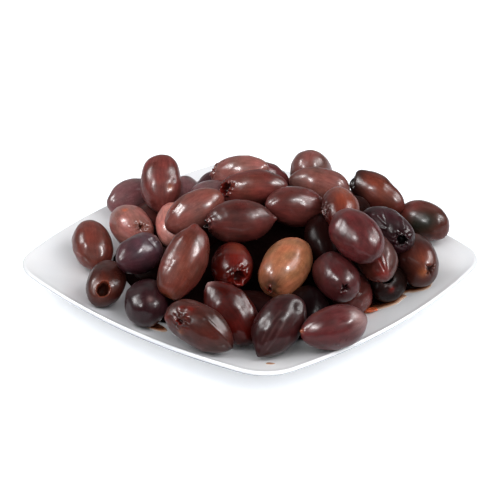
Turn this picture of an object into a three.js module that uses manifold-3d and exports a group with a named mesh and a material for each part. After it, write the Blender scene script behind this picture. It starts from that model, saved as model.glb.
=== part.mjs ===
// A dish of olives: pitted dark olives heaped on a small white square dish.
// Millimetres, +Z up. The origin is the middle of the dish's foot, on the table,
// and one corner of the dish points to the front, along -Y.
import * as THREE from 'three';
import { mergeVertices } from 'three/addons/utils/BufferGeometryUtils.js';
import Module from 'manifold-3d';

// ---------------------------------------------------------------- dish sizes
const HALF_WIDTH = 70; // middle of the dish to the middle of a bowed side
const SIDE_RADIUS = 228; // arc of each bowed side, seen from above
const CORNER_RADIUS = 17; // arc of each corner, seen from above
const ROUND_RADIUS = 75; // the circle that the outline turns into at the middle
const RIM_HEIGHT = 14;
const FLOOR_HEIGHT = 5; // top of the flat floor
const FLOOR_SHARE = 0.35; // how far out the flat floor reaches, as a share of the rim
const RISE_POWER = 1.6; // how the side curls up from the floor to the rim
const FLOOR_WALL = 3.2; // thickness of the floor
const RIM_WALL = 2.2; // thickness at the rim
const LIP_RADIUS = 1.1; // round edge of the rim
const FOOT_INSIDE = 0.5; // foot ring, as shares of the rim
const FOOT_OUTSIDE = 0.55;
const FOOT_SLANT = 0.02; // the foot ring's sides lean by this share
const DISH_SIDES = 56;
const CORNER_CROWDING = 0.6; // pulls the sides of the faceted outline together at the corners
const MERGE_DISTANCE = 1e-4;

// --------------------------------------------------------------- olive sizes
const OLIVE_SIDES = 10;
const OLIVE_RINGS = 7;
const FACET_GROWTH = 1.03; // keeps a faceted olive as thick as a round one
const STEM_FULLNESS = 0.06; // an olive is this much fuller at its stem end and slimmer at its tip
const HOLE_RADIUS = 2.6; // hole that the stone was pushed out of
const HOLE_DEPTH = 3.4;
const HOLE_TAPER = 0.7; // the hole's bottom as a share of its mouth
const HOLE_MOUTH = 0.97; // how far along the half length the hole's mouth lies
const GAP = 0.4; // clear space between the olives and the dish
const BEAD_RADIUS = 3.2; // bead of oil that holds an olive to its neighbour where they touch
const CORE_RISE = 16; // the core stands for the packed olives inside the heap
const CORE_POWER = 1.5; // how steeply it rises
const CORE_REACH = 62; // radius of its edge
const CORE_RIM_SHARE = 0.88; // the core stops at this share of the way to the rim
const CORE_PAD = 5; // thickness of the core near its edge
const CORE_SIDES = 24;
const GRIP = 1; // how far an olive reaches into the core or a neighbour where no bead is needed

// ---------------------------------------------------------------- placing
// Each olive of the heap: x, y and z of its middle, the heading of its stem end round
// from +X, how far that end points up, in degrees, its length and its thickness, and
// whether the stem end is an open hole.
const OPEN = true;
const CLOSED = false;
const OLIVES = [
  // front row, on the dish
  [24, -66, 21, 20, 5, 24, 14.5, CLOSED],
  [-22, -64, 21, 150, 20, 27.5, 15.5, OPEN],
  [5, -63, 20, 50, 30, 25.5, 16, CLOSED],
  [-11, -53, 20, -40, -40, 27, 15, CLOSED],
  [-40, -40, 18, -95, 5, 24.5, 15.5, CLOSED],
  // right side, from the front to the back
  [34, -28, 15, -85, 5, 24, 15, CLOSED],
  [48, -26, 16, 65, -10, 24, 12.5, OPEN],
  [27, -39, 27, -75, 0, 25, 16, CLOSED],
  [44, -30, 29, -80, -10, 24, 14, CLOSED],
  [35, -33, 40, 115, 10, 26.5, 16.5, CLOSED],
  [60, -13, 19, -75, -10, 25, 16, CLOSED],
  [49, -10, 31, -50, -10, 24, 14, OPEN],
  [66, 18, 20, -55, 5, 24, 15, CLOSED],
  [50, 27, 28, 140, 15, 24, 14, OPEN],
  // left side, from the front to the back
  [-54, -24, 18, -105, -5, 24, 13.5, OPEN],
  [-42, -19, 27, 55, -5, 24, 14, OPEN],
  [-27, -37, 32, 55, 40, 29, 16, CLOSED],
  [-58, 7, 17, 95, 10, 24.5, 15, CLOSED],
  [-44, 12, 21, -75, 5, 24.5, 15.5, CLOSED],
  [-44, 43, 19, 45, -5, 24, 14, CLOSED],
  [-32, 31, 30, 90, 35, 24.5, 15.5, CLOSED],
  [-28, 7, 27, -85, -5, 24, 14, CLOSED],
  [-23, 40, 23, -85, -5, 24, 13.5, CLOSED],
  // middle and top of the heap
  [-9, -29, 27, -90, 5, 24, 15, OPEN],
  [10, -33, 28, -120, -15, 27.5, 17, OPEN],
  [-5, -14, 37, -175, 0, 25.5, 15.5, OPEN],
  [-21, -5, 37, 25, 20, 24.5, 15, CLOSED],
  [16, -1, 36, 20, -15, 24, 14.5, OPEN],
  [32, -9, 40, 90, 0, 24, 13.5, OPEN],
  [1, 9, 39, 170, -10, 25.5, 13.5, OPEN],
  [-16, 14, 34, 45, -25, 24, 13.5, CLOSED],
  [-3, 23, 38, 150, -25, 24, 14, OPEN],
  [27, 24, 32, -25, -5, 24, 14, CLOSED],
  [26, 42, 30, -100, 45, 25.5, 16, CLOSED],
  [8, 34, 29, 30, -40, 24, 14.5, CLOSED],
  [-11, 35, 27, 45, -20, 24, 13.5, CLOSED],
  // back, on the dish
  [-36, 31, 15, 45, 0, 25.5, 14, CLOSED],
  [-10, 49, 17, 5, 20, 25, 16, CLOSED],
  [2, 62, 17, -30, 15, 24, 13.5, OPEN],
  [13, 48, 16, 60, -10, 25, 13.5, CLOSED],
  [42, 35, 17, 30, 0, 26, 13.5, CLOSED],
  // inside the heap, seen through the gaps
  [17, -47, 18, 90, -10, 25, 15.5, CLOSED],
  [-1, -43, 16, 165, 10, 24, 14, CLOSED],
  [25, -15, 29, 95, 20, 23.5, 13.5, CLOSED],
  [-35, -8, 16, 135, -10, 24, 14.5, CLOSED],
  [-10, 1, 24, 125, 10, 25.5, 15.5, CLOSED],
  [39, 8, 25, 90, 10, 24, 15.5, CLOSED],
  [53, 8, 18, 90, 10, 25, 15, CLOSED],
  [15, 17, 24, 170, -10, 24, 14, CLOSED],
  [-28, 18, 15, 20, 10, 24, 14.5, CLOSED],
  [23, 37, 16, 20, 0, 25, 16, CLOSED],
];

const wasm = await Module();
wasm.setup();

// ------------------------------------------------------------- dish surface
// Distance from the middle to the rim in a direction. The corners lie on the axes,
// so the direction folds to 0 at a corner and 45 degrees at the middle of a side.
function rimRadius(angle) {
  const quarter = Math.PI / 2;
  const turn = ((angle % quarter) + quarter) % quarter;
  const folded = Math.min(turn, quarter - turn);
  const sideCentre = SIDE_RADIUS - HALF_WIDTH;
  const innerRadius = SIDE_RADIUS - CORNER_RADIUS;
  const leg = sideCentre * Math.SQRT1_2;
  const cornerCentre = Math.sqrt(innerRadius ** 2 - leg ** 2) - leg;
  const arcEnd = Math.atan2(leg, cornerCentre + leg);
  const lastCornerAngle = Math.atan2(
    CORNER_RADIUS * Math.sin(arcEnd),
    cornerCentre + CORNER_RADIUS * Math.cos(arcEnd),
  );
  if (folded < lastCornerAngle) {
    const across = cornerCentre * Math.sin(folded);
    return cornerCentre * Math.cos(folded) + Math.sqrt(CORNER_RADIUS ** 2 - across ** 2);
  }
  const fromSide = Math.PI / 4 - folded;
  const across = sideCentre * Math.sin(fromSide);
  return Math.sqrt(SIDE_RADIUS ** 2 - across ** 2) - sideCentre * Math.cos(fromSide);
}

// Share of the way from the middle to the rim: circles at the middle, the rim's own outline at 1.
function shareAt(x, y) {
  const radius = Math.hypot(x, y);
  const rim = rimRadius(Math.atan2(y, x));
  return radius / (ROUND_RADIUS + ((rim - ROUND_RADIUS) * radius) / rim);
}

// The radius at which that share is reached, in a direction.
function radiusAt(share, angle) {
  const rim = rimRadius(angle);
  return (share * ROUND_RADIUS) / (1 - (share * (rim - ROUND_RADIUS)) / rim);
}

function topHeight(share) {
  const climb = Math.max((share - FLOOR_SHARE) / (1 - FLOOR_SHARE), 0);
  return FLOOR_HEIGHT + (RIM_HEIGHT - FLOOR_HEIGHT) * climb ** RISE_POWER;
}

function dishHeight(x, y) {
  return topHeight(shareAt(x, y));
}

// How much further a ball stands above a sloping dish than above a flat one.
function slopeStretch(x, y) {
  const step = 0.5;
  const alongX = (dishHeight(x + step, y) - dishHeight(x - step, y)) / (2 * step);
  const alongY = (dishHeight(x, y + step) - dishHeight(x, y - step)) / (2 * step);
  return Math.sqrt(1 + alongX ** 2 + alongY ** 2);
}

// A lathe turned about +Z whose points are moved by a rule of (radius, angle, height).
function shapedLathe(profile, sides, move) {
  const geometry = new THREE.LatheGeometry(profile, sides);
  geometry.rotateX(Math.PI / 2);
  const position = geometry.getAttribute('position');
  for (let i = 0; i < position.count; i += 1) {
    const x = position.getX(i);
    const y = position.getY(i);
    const moved = move(Math.hypot(x, y), Math.atan2(y, x), position.getZ(i));
    position.setXYZ(i, moved.x, moved.y, moved.z);
  }
  return closed(geometry);
}

// Merges the seam and the points at the axis, so that the surface is closed.
function closed(geometry) {
  geometry.deleteAttribute('normal');
  geometry.deleteAttribute('uv');
  return mergeVertices(geometry, MERGE_DISTANCE);
}

function crowdCorners(angle) {
  return angle - (CORNER_CROWDING / 4) * Math.sin(4 * angle);
}

// The dish's section, from the middle of its underside out over the rim and back in.
// Its x is the share of the way to the rim times the round radius.
function dishProfile() {
  const points = [];
  const add = (share, height) => points.push(new THREE.Vector2(share * ROUND_RADIUS, height));
  const under = (share) => {
    const wall = FLOOR_WALL + (RIM_WALL - FLOOR_WALL) * share;
    return topHeight(share) - wall;
  };
  add(0, under(0));
  add(0.25, under(0.25));
  add(FOOT_INSIDE - FOOT_SLANT, under(FOOT_INSIDE - FOOT_SLANT));
  add(FOOT_INSIDE, 0);
  add(FOOT_OUTSIDE, 0);
  add(FOOT_OUTSIDE + FOOT_SLANT, under(FOOT_OUTSIDE + FOOT_SLANT));
  for (const share of [0.66, 0.75, 0.84, 0.92, 0.97]) {
    add(share, under(share));
  }
  const lipRadius = ROUND_RADIUS - LIP_RADIUS;
  const lipHeight = RIM_HEIGHT - LIP_RADIUS;
  for (const turn of [-50, 0, 45, 90, 125]) {
    const angle = THREE.MathUtils.degToRad(turn);
    const radius = lipRadius + LIP_RADIUS * Math.cos(angle);
    points.push(new THREE.Vector2(radius, lipHeight + LIP_RADIUS * Math.sin(angle)));
  }
  for (const share of [0.95, 0.88, 0.8, 0.71, 0.62, 0.53, 0.44, FLOOR_SHARE, 0.18, 0]) {
    add(share, topHeight(share));
  }
  return points;
}

function dishGeometry() {
  return shapedLathe(dishProfile(), DISH_SIDES, (radius, angle, height) => {
    const turned = crowdCorners(angle);
    const reach = radiusAt(radius / ROUND_RADIUS, turned);
    return new THREE.Vector3(reach * Math.cos(turned), reach * Math.sin(turned), height);
  });
}

// ------------------------------------------------------------------ olives
function direction(heading, tilt) {
  const turn = THREE.MathUtils.degToRad(heading);
  const lift = THREE.MathUtils.degToRad(tilt);
  return new THREE.Vector3(
    Math.cos(turn) * Math.cos(lift),
    Math.sin(turn) * Math.cos(lift),
    Math.sin(lift),
  );
}

// The balls that fill an olive of this length and thickness, as offsets along its axis.
function ballsOf(length, thickness) {
  const half = length / 2;
  const radius = thickness / 2;
  const spread = half ** 2 - radius ** 2;
  const balls = [];
  for (let step = -3; step <= 3; step += 1) {
    const offset = (step / 3) * (spread / half);
    balls.push({ offset, radius: radius * Math.sqrt(1 - offset ** 2 / spread) });
  }
  return balls;
}

function makeOlive(x, y, z, heading, tilt, length, thickness, open) {
  const axis = direction(heading, tilt);
  const balls = ballsOf(length, thickness);
  const olive = { middle: new THREE.Vector3(x, y, z), axis, balls, length, thickness, open };
  olive.middle.z = Math.max(z, restingHeight(olive));
  return olive;
}

// The lowest height of its middle at which an olive clears the dish.
function restingHeight(olive) {
  const heights = olive.balls.map(({ offset, radius }) => {
    const x = olive.middle.x + offset * olive.axis.x;
    const y = olive.middle.y + offset * olive.axis.y;
    return dishHeight(x, y) + GAP + radius * slopeStretch(x, y) - offset * olive.axis.z;
  });
  return Math.max(...heights);
}

// Where two olives come closest, and how deep they reach into each other there, which is
// negative where they are apart.
function closestContact(one, other) {
  let best = { depth: -Infinity };
  for (const a of one.balls) {
    const from = one.middle.clone().addScaledVector(one.axis, a.offset);
    for (const b of other.balls) {
      const to = other.middle.clone().addScaledVector(other.axis, b.offset);
      const depth = a.radius + b.radius - from.distanceTo(to);
      if (depth > best.depth) {
        best = { depth, place: from.clone().lerp(to, a.radius / (a.radius + b.radius)) };
      }
    }
  }
  return best;
}

// An olive: an egg of revolution, a little fuller at the stem end, with the hole sunk into it.
function oliveGeometry({ middle, axis, length, thickness, open }) {
  const half = length / 2;
  const profile = [];
  for (let ring = 0; ring <= OLIVE_RINGS; ring += 1) {
    const along = -Math.cos((Math.PI * ring) / OLIVE_RINGS);
    const fullness = (1 + STEM_FULLNESS * along) * FACET_GROWTH;
    const radius = (thickness / 2) * Math.sqrt(1 - along ** 2) * fullness;
    profile.push(new THREE.Vector2(radius, along * half));
  }
  if (open) {
    profile.pop();
    profile.push(new THREE.Vector2(HOLE_RADIUS, half * HOLE_MOUTH));
    profile.push(new THREE.Vector2(HOLE_RADIUS * HOLE_TAPER, half - HOLE_DEPTH));
    profile.push(new THREE.Vector2(0, half - HOLE_DEPTH));
  }
  const geometry = closed(new THREE.LatheGeometry(profile, OLIVE_SIDES));
  const turn = new THREE.Quaternion().setFromUnitVectors(new THREE.Vector3(0, 1, 0), axis);
  geometry.applyQuaternion(turn);
  geometry.translate(middle.x, middle.y, middle.z);
  return geometry;
}

// The core's edge: a circle, held back from the rim.
function coreReach(angle) {
  return Math.min(CORE_REACH, CORE_RIM_SHARE * rimRadius(angle));
}

// The core's top is a low mound over the dish.
function coreTop(x, y) {
  const share = Math.min(Math.hypot(x, y) / coreReach(Math.atan2(y, x)), 1);
  const mound = CORE_PAD * (1 - share ** 8) + CORE_RISE * (1 - share ** 2) ** CORE_POWER;
  return dishHeight(x, y) + GAP + mound;
}

// A closed mound that follows the dish underneath.
function coreGeometry() {
  const bottom = [0, 0.35, 0.7, 0.87, 1].map((share) => new THREE.Vector2(share, 0));
  const top = [0.95, 0.85, 0.7, 0.5, 0.25, 0].map((share) => new THREE.Vector2(share, 1));
  return shapedLathe([...bottom, ...top], CORE_SIDES, (share, angle, level) => {
    const radius = share * coreReach(angle);
    const x = radius * Math.cos(angle);
    const y = radius * Math.sin(angle);
    const height = level > 0.5 ? coreTop(x, y) : dishHeight(x, y) + GAP;
    return new THREE.Vector3(x, y, height);
  });
}

// Whether an olive reaches into the core far enough to be part of it.
function gripsCore({ middle, axis, balls }) {
  return balls.some(({ offset, radius }) => {
    const ball = middle.clone().addScaledVector(axis, offset);
    const inside = Math.hypot(ball.x, ball.y) < coreReach(Math.atan2(ball.y, ball.x));
    return inside && ball.z - radius + GRIP < coreTop(ball.x, ball.y);
  });
}

// Small beads that hold each olive, outward from the core, to the olive that it lies against
// most closely, where the two don't press into each other by themselves.
function beadGeometries(olives) {
  const held = olives.filter(gripsCore);
  const loose = olives.filter((olive) => !gripsCore(olive));
  const beads = [];
  while (loose.length > 0) {
    let best = { depth: -Infinity };
    for (const olive of loose) {
      for (const neighbour of held) {
        const contact = closestContact(olive, neighbour);
        if (contact.depth > best.depth) {
          best = { ...contact, olive };
        }
      }
    }
    if (best.depth < GRIP) {
      const bead = new THREE.IcosahedronGeometry(BEAD_RADIUS);
      bead.translate(best.place.x, best.place.y, best.place.z);
      beads.push(closed(bead));
    }
    loose.splice(loose.indexOf(best.olive), 1);
    held.push(best.olive);
  }
  return beads;
}

// -------------------------------------------------------------- joining
function solidOf(geometry) {
  const vertProperties = new Float32Array(geometry.getAttribute('position').array);
  const triVerts = new Uint32Array(geometry.getIndex().array);
  return new wasm.Manifold(new wasm.Mesh({ numProp: 3, vertProperties, triVerts }));
}

function geometryOf(solid) {
  const { vertProperties, triVerts } = solid.getMesh();
  const geometry = new THREE.BufferGeometry();
  geometry.setAttribute('position', new THREE.BufferAttribute(vertProperties, 3));
  geometry.setIndex(new THREE.BufferAttribute(triVerts, 1));
  return geometry;
}

// Joins the pieces and keeps the largest body, so that no sealed hollow or scrap is left.
function fuse(geometries) {
  const joined = geometries.map(solidOf).reduce((sum, solid) => sum.add(solid));
  const bodies = joined.decompose();
  return bodies.reduce((largest, body) => (body.volume() > largest.volume() ? body : largest));
}

const olives = OLIVES.map((row) => makeOlive(...row));
const heap = fuse([coreGeometry(), ...olives.map(oliveGeometry), ...beadGeometries(olives)]);

// -------------------------------------------------------------- scene graph
const dishOfOlives = new THREE.Group();

function addPart(name, geometry, color, roughness) {
  const material = new THREE.MeshStandardMaterial({ color, roughness, metalness: 0 });
  const mesh = new THREE.Mesh(geometry, material);
  mesh.name = name;
  dishOfOlives.add(mesh);
}

addPart('dish', dishGeometry(), 0xf2f2f4, 0.2);
addPart('olive_heap', geometryOf(heap), 0x4a2420, 0.35);

export default dishOfOlives;
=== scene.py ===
# %% [markdown]
# # A dish of olives
# This lesson dresses a plain model of a small white dish, heaped with pitted dark olives, until it
# looks like the real food. Every surface is worked out with numpy as a function of two parameters
# and then handed to Blender as a mesh. The plain model sets the sizes, so it is loaded first.

# %% Load the plain model
import math

import bpy
import numpy as np
from mathutils import Matrix


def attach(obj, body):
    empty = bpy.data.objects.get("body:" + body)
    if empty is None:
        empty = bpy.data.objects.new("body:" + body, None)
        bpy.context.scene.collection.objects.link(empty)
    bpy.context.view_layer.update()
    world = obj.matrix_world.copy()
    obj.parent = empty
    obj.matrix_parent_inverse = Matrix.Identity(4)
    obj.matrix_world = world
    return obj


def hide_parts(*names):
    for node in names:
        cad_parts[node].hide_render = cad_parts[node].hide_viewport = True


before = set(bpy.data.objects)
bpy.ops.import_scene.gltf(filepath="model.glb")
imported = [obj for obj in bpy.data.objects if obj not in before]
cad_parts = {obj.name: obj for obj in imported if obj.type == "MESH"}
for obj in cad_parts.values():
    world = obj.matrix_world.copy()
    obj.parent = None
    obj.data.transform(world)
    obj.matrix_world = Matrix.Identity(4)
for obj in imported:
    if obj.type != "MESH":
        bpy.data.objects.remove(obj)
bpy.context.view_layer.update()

MM = 0.001  # the lesson counts in mm and Blender in metres

# %% [markdown]
# ## The viewpoint
# A small dish is looked at from across the table with a long lens, which keeps the near and far
# corners almost the same size. A camera could be dragged into place, but the point it looks at, a
# direction and a distance are a few plain numbers that can be set again, so it is placed by them.

# %% Camera
AIM = np.array([0.19, 7.51, 14.0])  # mm, the point that the camera looks at
CAMERA_TURN = math.radians(-4.47)
CAMERA_LIFT = math.radians(27.37)
CAMERA_ROLL = math.radians(-1.22)
CAMERA_DISTANCE = 1050.0
LENS_MM = 202.95
SENSOR_MM = 36.0
CLIP_NEAR, CLIP_FAR = 0.05, 20.0  # metres

toward_camera = np.array([
    math.sin(CAMERA_TURN) * math.cos(CAMERA_LIFT),
    -math.cos(CAMERA_TURN) * math.cos(CAMERA_LIFT),
    math.sin(CAMERA_LIFT),
])


def placed(right, up, back, place):
    """Matrix of a camera or lamp that looks along -back from a place in mm."""
    matrix = np.eye(4)
    matrix[:3, 0], matrix[:3, 1], matrix[:3, 2], matrix[:3, 3] = right, up, back, place * MM
    return Matrix(matrix.tolist())


def add_camera():
    """Looks along -toward_camera. The picture's right and up are level and upright ones, rolled."""
    level = np.cross(-toward_camera, [0.0, 0.0, 1.0])
    level /= np.linalg.norm(level)
    upright = np.cross(level, -toward_camera)
    c, s = math.cos(CAMERA_ROLL), math.sin(CAMERA_ROLL)
    right, up = c * level - s * upright, s * level + c * upright
    data = bpy.data.cameras.new("camera")
    data.lens, data.sensor_width = LENS_MM, SENSOR_MM
    data.clip_start, data.clip_end = CLIP_NEAR, CLIP_FAR
    camera = bpy.data.objects.new("camera", data)
    bpy.context.scene.collection.objects.link(camera)
    camera.matrix_world = placed(right, up, toward_camera, AIM + CAMERA_DISTANCE * toward_camera)
    bpy.context.scene.camera = camera


add_camera()
print("camera", CAMERA_DISTANCE, "mm away")

# %% [markdown]
# ## From arrays to meshes
# A dish, an olive and a puddle are all closed skins round an axis. They could be pulled out of
# ready-made balls by hand, but a grid of points keeps every size exact. Each point is joined to its
# neighbours with four-sided faces. The grids run along a path, row by row, and round an axis,
# column by column. A grid that turns right round is closed by letting its last column join its
# first, and a row that has shrunk to a point is replaced by one vertex with a fan of triangles, so
# that no seam or pole stays open.

# %% Mesh helpers
def round_faces(rows, columns):
    """Faces of a surface turned round an axis: a pole, `rows` rings of `columns` points, a pole.
    Vertex 0 is the first pole and the last vertex is the second one. Seen from outside, the
    rings' columns run anticlockwise about the direction from the first pole to the second."""
    ring = 1 + np.arange(rows)[:, None] * columns + np.arange(columns)[None, :]
    following = np.roll(ring, -1, axis=1)
    quads = np.stack([ring[:-1], following[:-1], following[1:], ring[1:]], axis=-1).reshape(-1, 4)
    first = np.stack([following[0], ring[0], np.zeros(columns, int)], axis=-1)
    last = np.stack([ring[-1], following[-1], np.full(columns, 1 + rows * columns)], axis=-1)
    return quads, np.concatenate([first, last])


def new_piece(name, points, quads, triangles, material):
    """Makes a mesh object from points in mm and from arrays of quads and triangles."""
    mesh = bpy.data.meshes.new(name)
    mesh.vertices.add(len(points))
    mesh.vertices.foreach_set("co", (np.asarray(points) * MM).ravel())
    corners = np.concatenate([quads.ravel(), triangles.ravel()])
    totals = np.concatenate([np.full(len(quads), 4), np.full(len(triangles), 3)])
    starts = np.concatenate([[0], np.cumsum(totals)[:-1]])
    mesh.loops.add(len(corners))
    mesh.loops.foreach_set("vertex_index", corners)
    mesh.polygons.add(len(totals))
    mesh.polygons.foreach_set("loop_start", starts)
    mesh.polygons.foreach_set("loop_total", totals)
    mesh.polygons.foreach_set("use_smooth", np.ones(len(totals), bool))
    mesh.update(calc_edges=True)
    mesh.validate()
    mesh.materials.append(material)
    piece = bpy.data.objects.new(name, mesh)
    bpy.context.scene.collection.objects.link(piece)
    print(name, len(points), "points,", len(quads) * 2 + len(triangles), "triangles")
    return piece


def merge_grids(parts):
    """Joins (points, quads, triangles) parts into one, shifting each part's face numbers."""
    points, quads, triangles, shift = [], [], [], 0
    for part_points, part_quads, part_triangles in parts:
        points.append(part_points)
        quads.append(part_quads + shift)
        triangles.append(part_triangles + shift)
        shift += len(part_points)
    return np.concatenate(points), np.concatenate(quads), np.concatenate(triangles)


quads, triangles = round_faces(8, 16)
print("8 rings of 16 points need", len(quads), "quads and", len(triangles), "triangles at the poles")

# %% [markdown]
# ## Uneven fields
# Nothing in food is even. Random numbers at every point would look like sand, so unevenness comes
# from a sum of sine waves in random directions, which is smooth and has a size that can be chosen.
# Every draw has a seed, so the dish comes out the same each time.

# %% Smooth steps and waves
WAVE_SHORTEST, WAVE_LONGEST = 0.7, 1.5  # shares of a field's size
WAVE_LEVEL = 0.7


def smooth_step(low, high, value):
    """0 below low, 1 above high and a soft S-curve between."""
    t = np.clip((value - low) / (high - low), 0.0, 1.0)
    return t * t * (3.0 - 2.0 * t)


def bell(distance, reach):
    """1 in the middle and fading on both sides: e to the power of minus (distance / reach) ** 2."""
    return np.exp(-(distance / reach) ** 2)


def waves(points, size, draw, count=14):
    """A smooth random field over points: the mean of sine waves in random directions, each about
    `size` long, scaled so that it mostly stays between -1 and 1."""
    direction = draw.normal(size=(count, 3))
    direction /= np.linalg.norm(direction, axis=1, keepdims=True)
    pitch = 2 * math.pi / (size * draw.uniform(WAVE_SHORTEST, WAVE_LONGEST, count))
    phase = draw.uniform(0, 2 * math.pi, count)
    angle = np.einsum("...k,nk->...n", points, direction * pitch[:, None]) + phase
    return np.sin(angle).sum(axis=-1) * math.sqrt(2.0 / count) * WAVE_LEVEL


def circle(columns):
    """Angles right round a circle, without the last one, and the circle's points."""
    turn = np.linspace(0, 2 * math.pi, columns, endpoint=False)
    return turn, np.stack([np.cos(turn), np.sin(turn), 0 * turn], axis=-1)


test = waves(np.random.default_rng(1).uniform(-50, 50, (2000, 3)), 8.0, np.random.default_rng(2))
print("a field of waves lies around", round(float(test.mean()), 2), "+-", round(float(test.std()), 2))

# %% [markdown]
# ## Node helpers
# Each finish on the real dish, such as glaze, skin or juice, becomes a material, which is a small
# graph of nodes. It could be clicked together by hand, but code can be read and repeated. These
# helpers make a node, set its plain values and join its sockets in one line each.

# %% Node helpers
def new_material(name):
    """An empty material with one surface shader, which is given back with it."""
    material = bpy.data.materials.new(name)
    material.use_nodes = True
    material.node_tree.nodes.clear()
    output = material.node_tree.nodes.new("ShaderNodeOutputMaterial")
    shader = material.node_tree.nodes.new("ShaderNodeBsdfPrincipled")
    material.node_tree.links.new(shader.outputs[0], output.inputs["Surface"])
    return material, shader


def add_node(material, kind, settings=None, **inputs):
    """Adds a node. Each input is a plain value or another node's output socket."""
    made = material.node_tree.nodes.new(kind)
    for key, value in (settings or {}).items():
        setattr(made, key, value)
    for key, value in inputs.items():
        plug(material, made.inputs[key.replace("_", " ")], value)
    return made


def plug(material, socket, value):
    """Joins a socket to another node's output, or sets its plain value."""
    if isinstance(value, bpy.types.NodeSocket):
        material.node_tree.links.new(value, socket)
    else:
        socket.default_value = value


def mix_colours(material, share, first, second, blend="MIX"):
    """First times 1 - share plus second times share, or another blend of the two."""
    mix = add_node(material, "ShaderNodeMix", {"data_type": "RGBA", "blend_type": blend})
    for socket, value in ((mix.inputs[0], share), (mix.inputs[6], first), (mix.inputs[7], second)):
        plug(material, socket, value)
    return mix.outputs[2]


def remap(material, value, low, high, to_low, to_high):
    """Stretches value from low..high to to_low..to_high and clamps it there."""
    made = add_node(material, "ShaderNodeMapRange", None, Value=value, From_Min=low, From_Max=high,
                    To_Min=to_low, To_Max=to_high)
    return made.outputs["Result"]


def noise(material, vector, scale, detail=3.0, roughness=0.5):
    """Soft random cloud, 0 to 1, with about `scale` bumps for each unit of the vector."""
    made = add_node(material, "ShaderNodeTexNoise", None, Vector=vector, Scale=scale,
                    Detail=detail, Roughness=roughness)
    return made.outputs["Fac"]


def object_place(material):
    """Place on the piece in metres, which starts at the piece's own origin."""
    return add_node(material, "ShaderNodeTexCoord").outputs["Object"]


def attribute(material, name, output):
    """A value that was stored with every point of the piece."""
    return add_node(material, "ShaderNodeAttribute", {"attribute_name": name}).outputs[output]


def add_bump(material, shader, height, strength, distance, **below):
    """Tilts the light on the skin by a height field, over an earlier bump where one is given."""
    made = add_node(material, "ShaderNodeBump", None, Height=height, Strength=strength,
                    Distance=distance, **below)
    plug(material, shader.inputs["Normal"], made.outputs["Normal"])
    return made.outputs["Normal"]


def linear(red, green, blue):
    """Screen colour, 0 to 255, to the linear light that shaders and attributes hold."""
    screen = np.array([red, green, blue]) / 255.0
    light = np.where(screen <= 0.04045, screen / 12.92, ((screen + 0.055) / 1.055) ** 2.4)
    return tuple(float(v) for v in light)


def rgba(colour):
    """A colour with full cover, as colour sockets want it."""
    return (*colour, 1.0)


print("mid grey 128 holds", round(linear(128, 128, 128)[0], 3), "of white's light")

# %% [markdown]
# ## The dish's outline
# Seen from above the dish is a square whose sides bow out and whose corners are small arcs. Each
# side is an arc of a big circle and each corner an arc of a little one that touches it, so eight
# arcs make the rim. Towards the middle the shape turns into a circle, as a pressed dish does.

# %% Dish sizes and outline
HALF_WIDTH, SIDE_RADIUS, CORNER_RADIUS = 70.0, 228.0, 17.0  # mm
ROUND_RADIUS = 75.0  # mm, of the circle that the shape turns into
RIM_HEIGHT, FLOOR_HEIGHT = 14.0, 5.0  # mm
FLOOR_SHARE, RISE_POWER = 0.35, 1.6


def rim_radius(angle):
    """Distance from the middle to the rim in a direction. The angle is folded so that 0 is a
    corner and 45 degrees the middle of a side, and then meets the corner's or the side's arc. A
    line meets an arc at the arc's middle along the line, plus the root of radius squared less the
    middle's distance across the line squared."""
    turn = np.mod(angle, math.pi / 2)
    folded = np.minimum(turn, math.pi / 2 - turn)
    side_centre = SIDE_RADIUS - HALF_WIDTH
    leg = side_centre * math.sqrt(0.5)
    corner_centre = math.sqrt((SIDE_RADIUS - CORNER_RADIUS) ** 2 - leg ** 2) - leg
    arc_end = math.atan2(leg, corner_centre + leg)
    last = math.atan2(CORNER_RADIUS * math.sin(arc_end),
                      corner_centre + CORNER_RADIUS * math.cos(arc_end))
    across = corner_centre * np.sin(folded)
    corner = corner_centre * np.cos(folded)
    corner = corner + np.sqrt(np.maximum(CORNER_RADIUS ** 2 - across ** 2, 0))
    from_side = math.pi / 4 - folded
    side = np.sqrt(SIDE_RADIUS ** 2 - (side_centre * np.sin(from_side)) ** 2)
    side = side - side_centre * np.cos(from_side)
    return np.where(folded < last, corner, side)


def share_at(x, y):
    """Share of the way from the middle to the rim."""
    radius, rim = np.hypot(x, y), rim_radius(np.arctan2(y, x))
    return radius / (ROUND_RADIUS + (rim - ROUND_RADIUS) * radius / rim)


def radius_at(share, angle):
    """The other way round: distance from the middle for a share of the way to the rim."""
    rim = rim_radius(angle)
    return share * ROUND_RADIUS / (1 - share * (rim - ROUND_RADIUS) / rim)


def top_height(share):
    """Flat floor, then a curve that climbs to the rim as a power of the share left."""
    climb = np.maximum((share - FLOOR_SHARE) / (1 - FLOOR_SHARE), 0)
    return FLOOR_HEIGHT + (RIM_HEIGHT - FLOOR_HEIGHT) * climb ** RISE_POWER


def dish_height(x, y):
    """Height of the glaze above a point of the table."""
    return top_height(share_at(x, y))


print("corner to corner, mm:", round(2 * float(rim_radius(0.0)), 1))

# %% [markdown]
# ## The dish
# A real dish is pressed from clay and glazed, so it has one smooth skin all round. It could be a
# flat shape with thickness and bevels added, but a section carried round the outline gives the
# foot ring, the thin wall and the round lip in one closed surface, so that way is used here. The
# section is a path of (share of the way to the rim, height) pairs, filled in finely.

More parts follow.
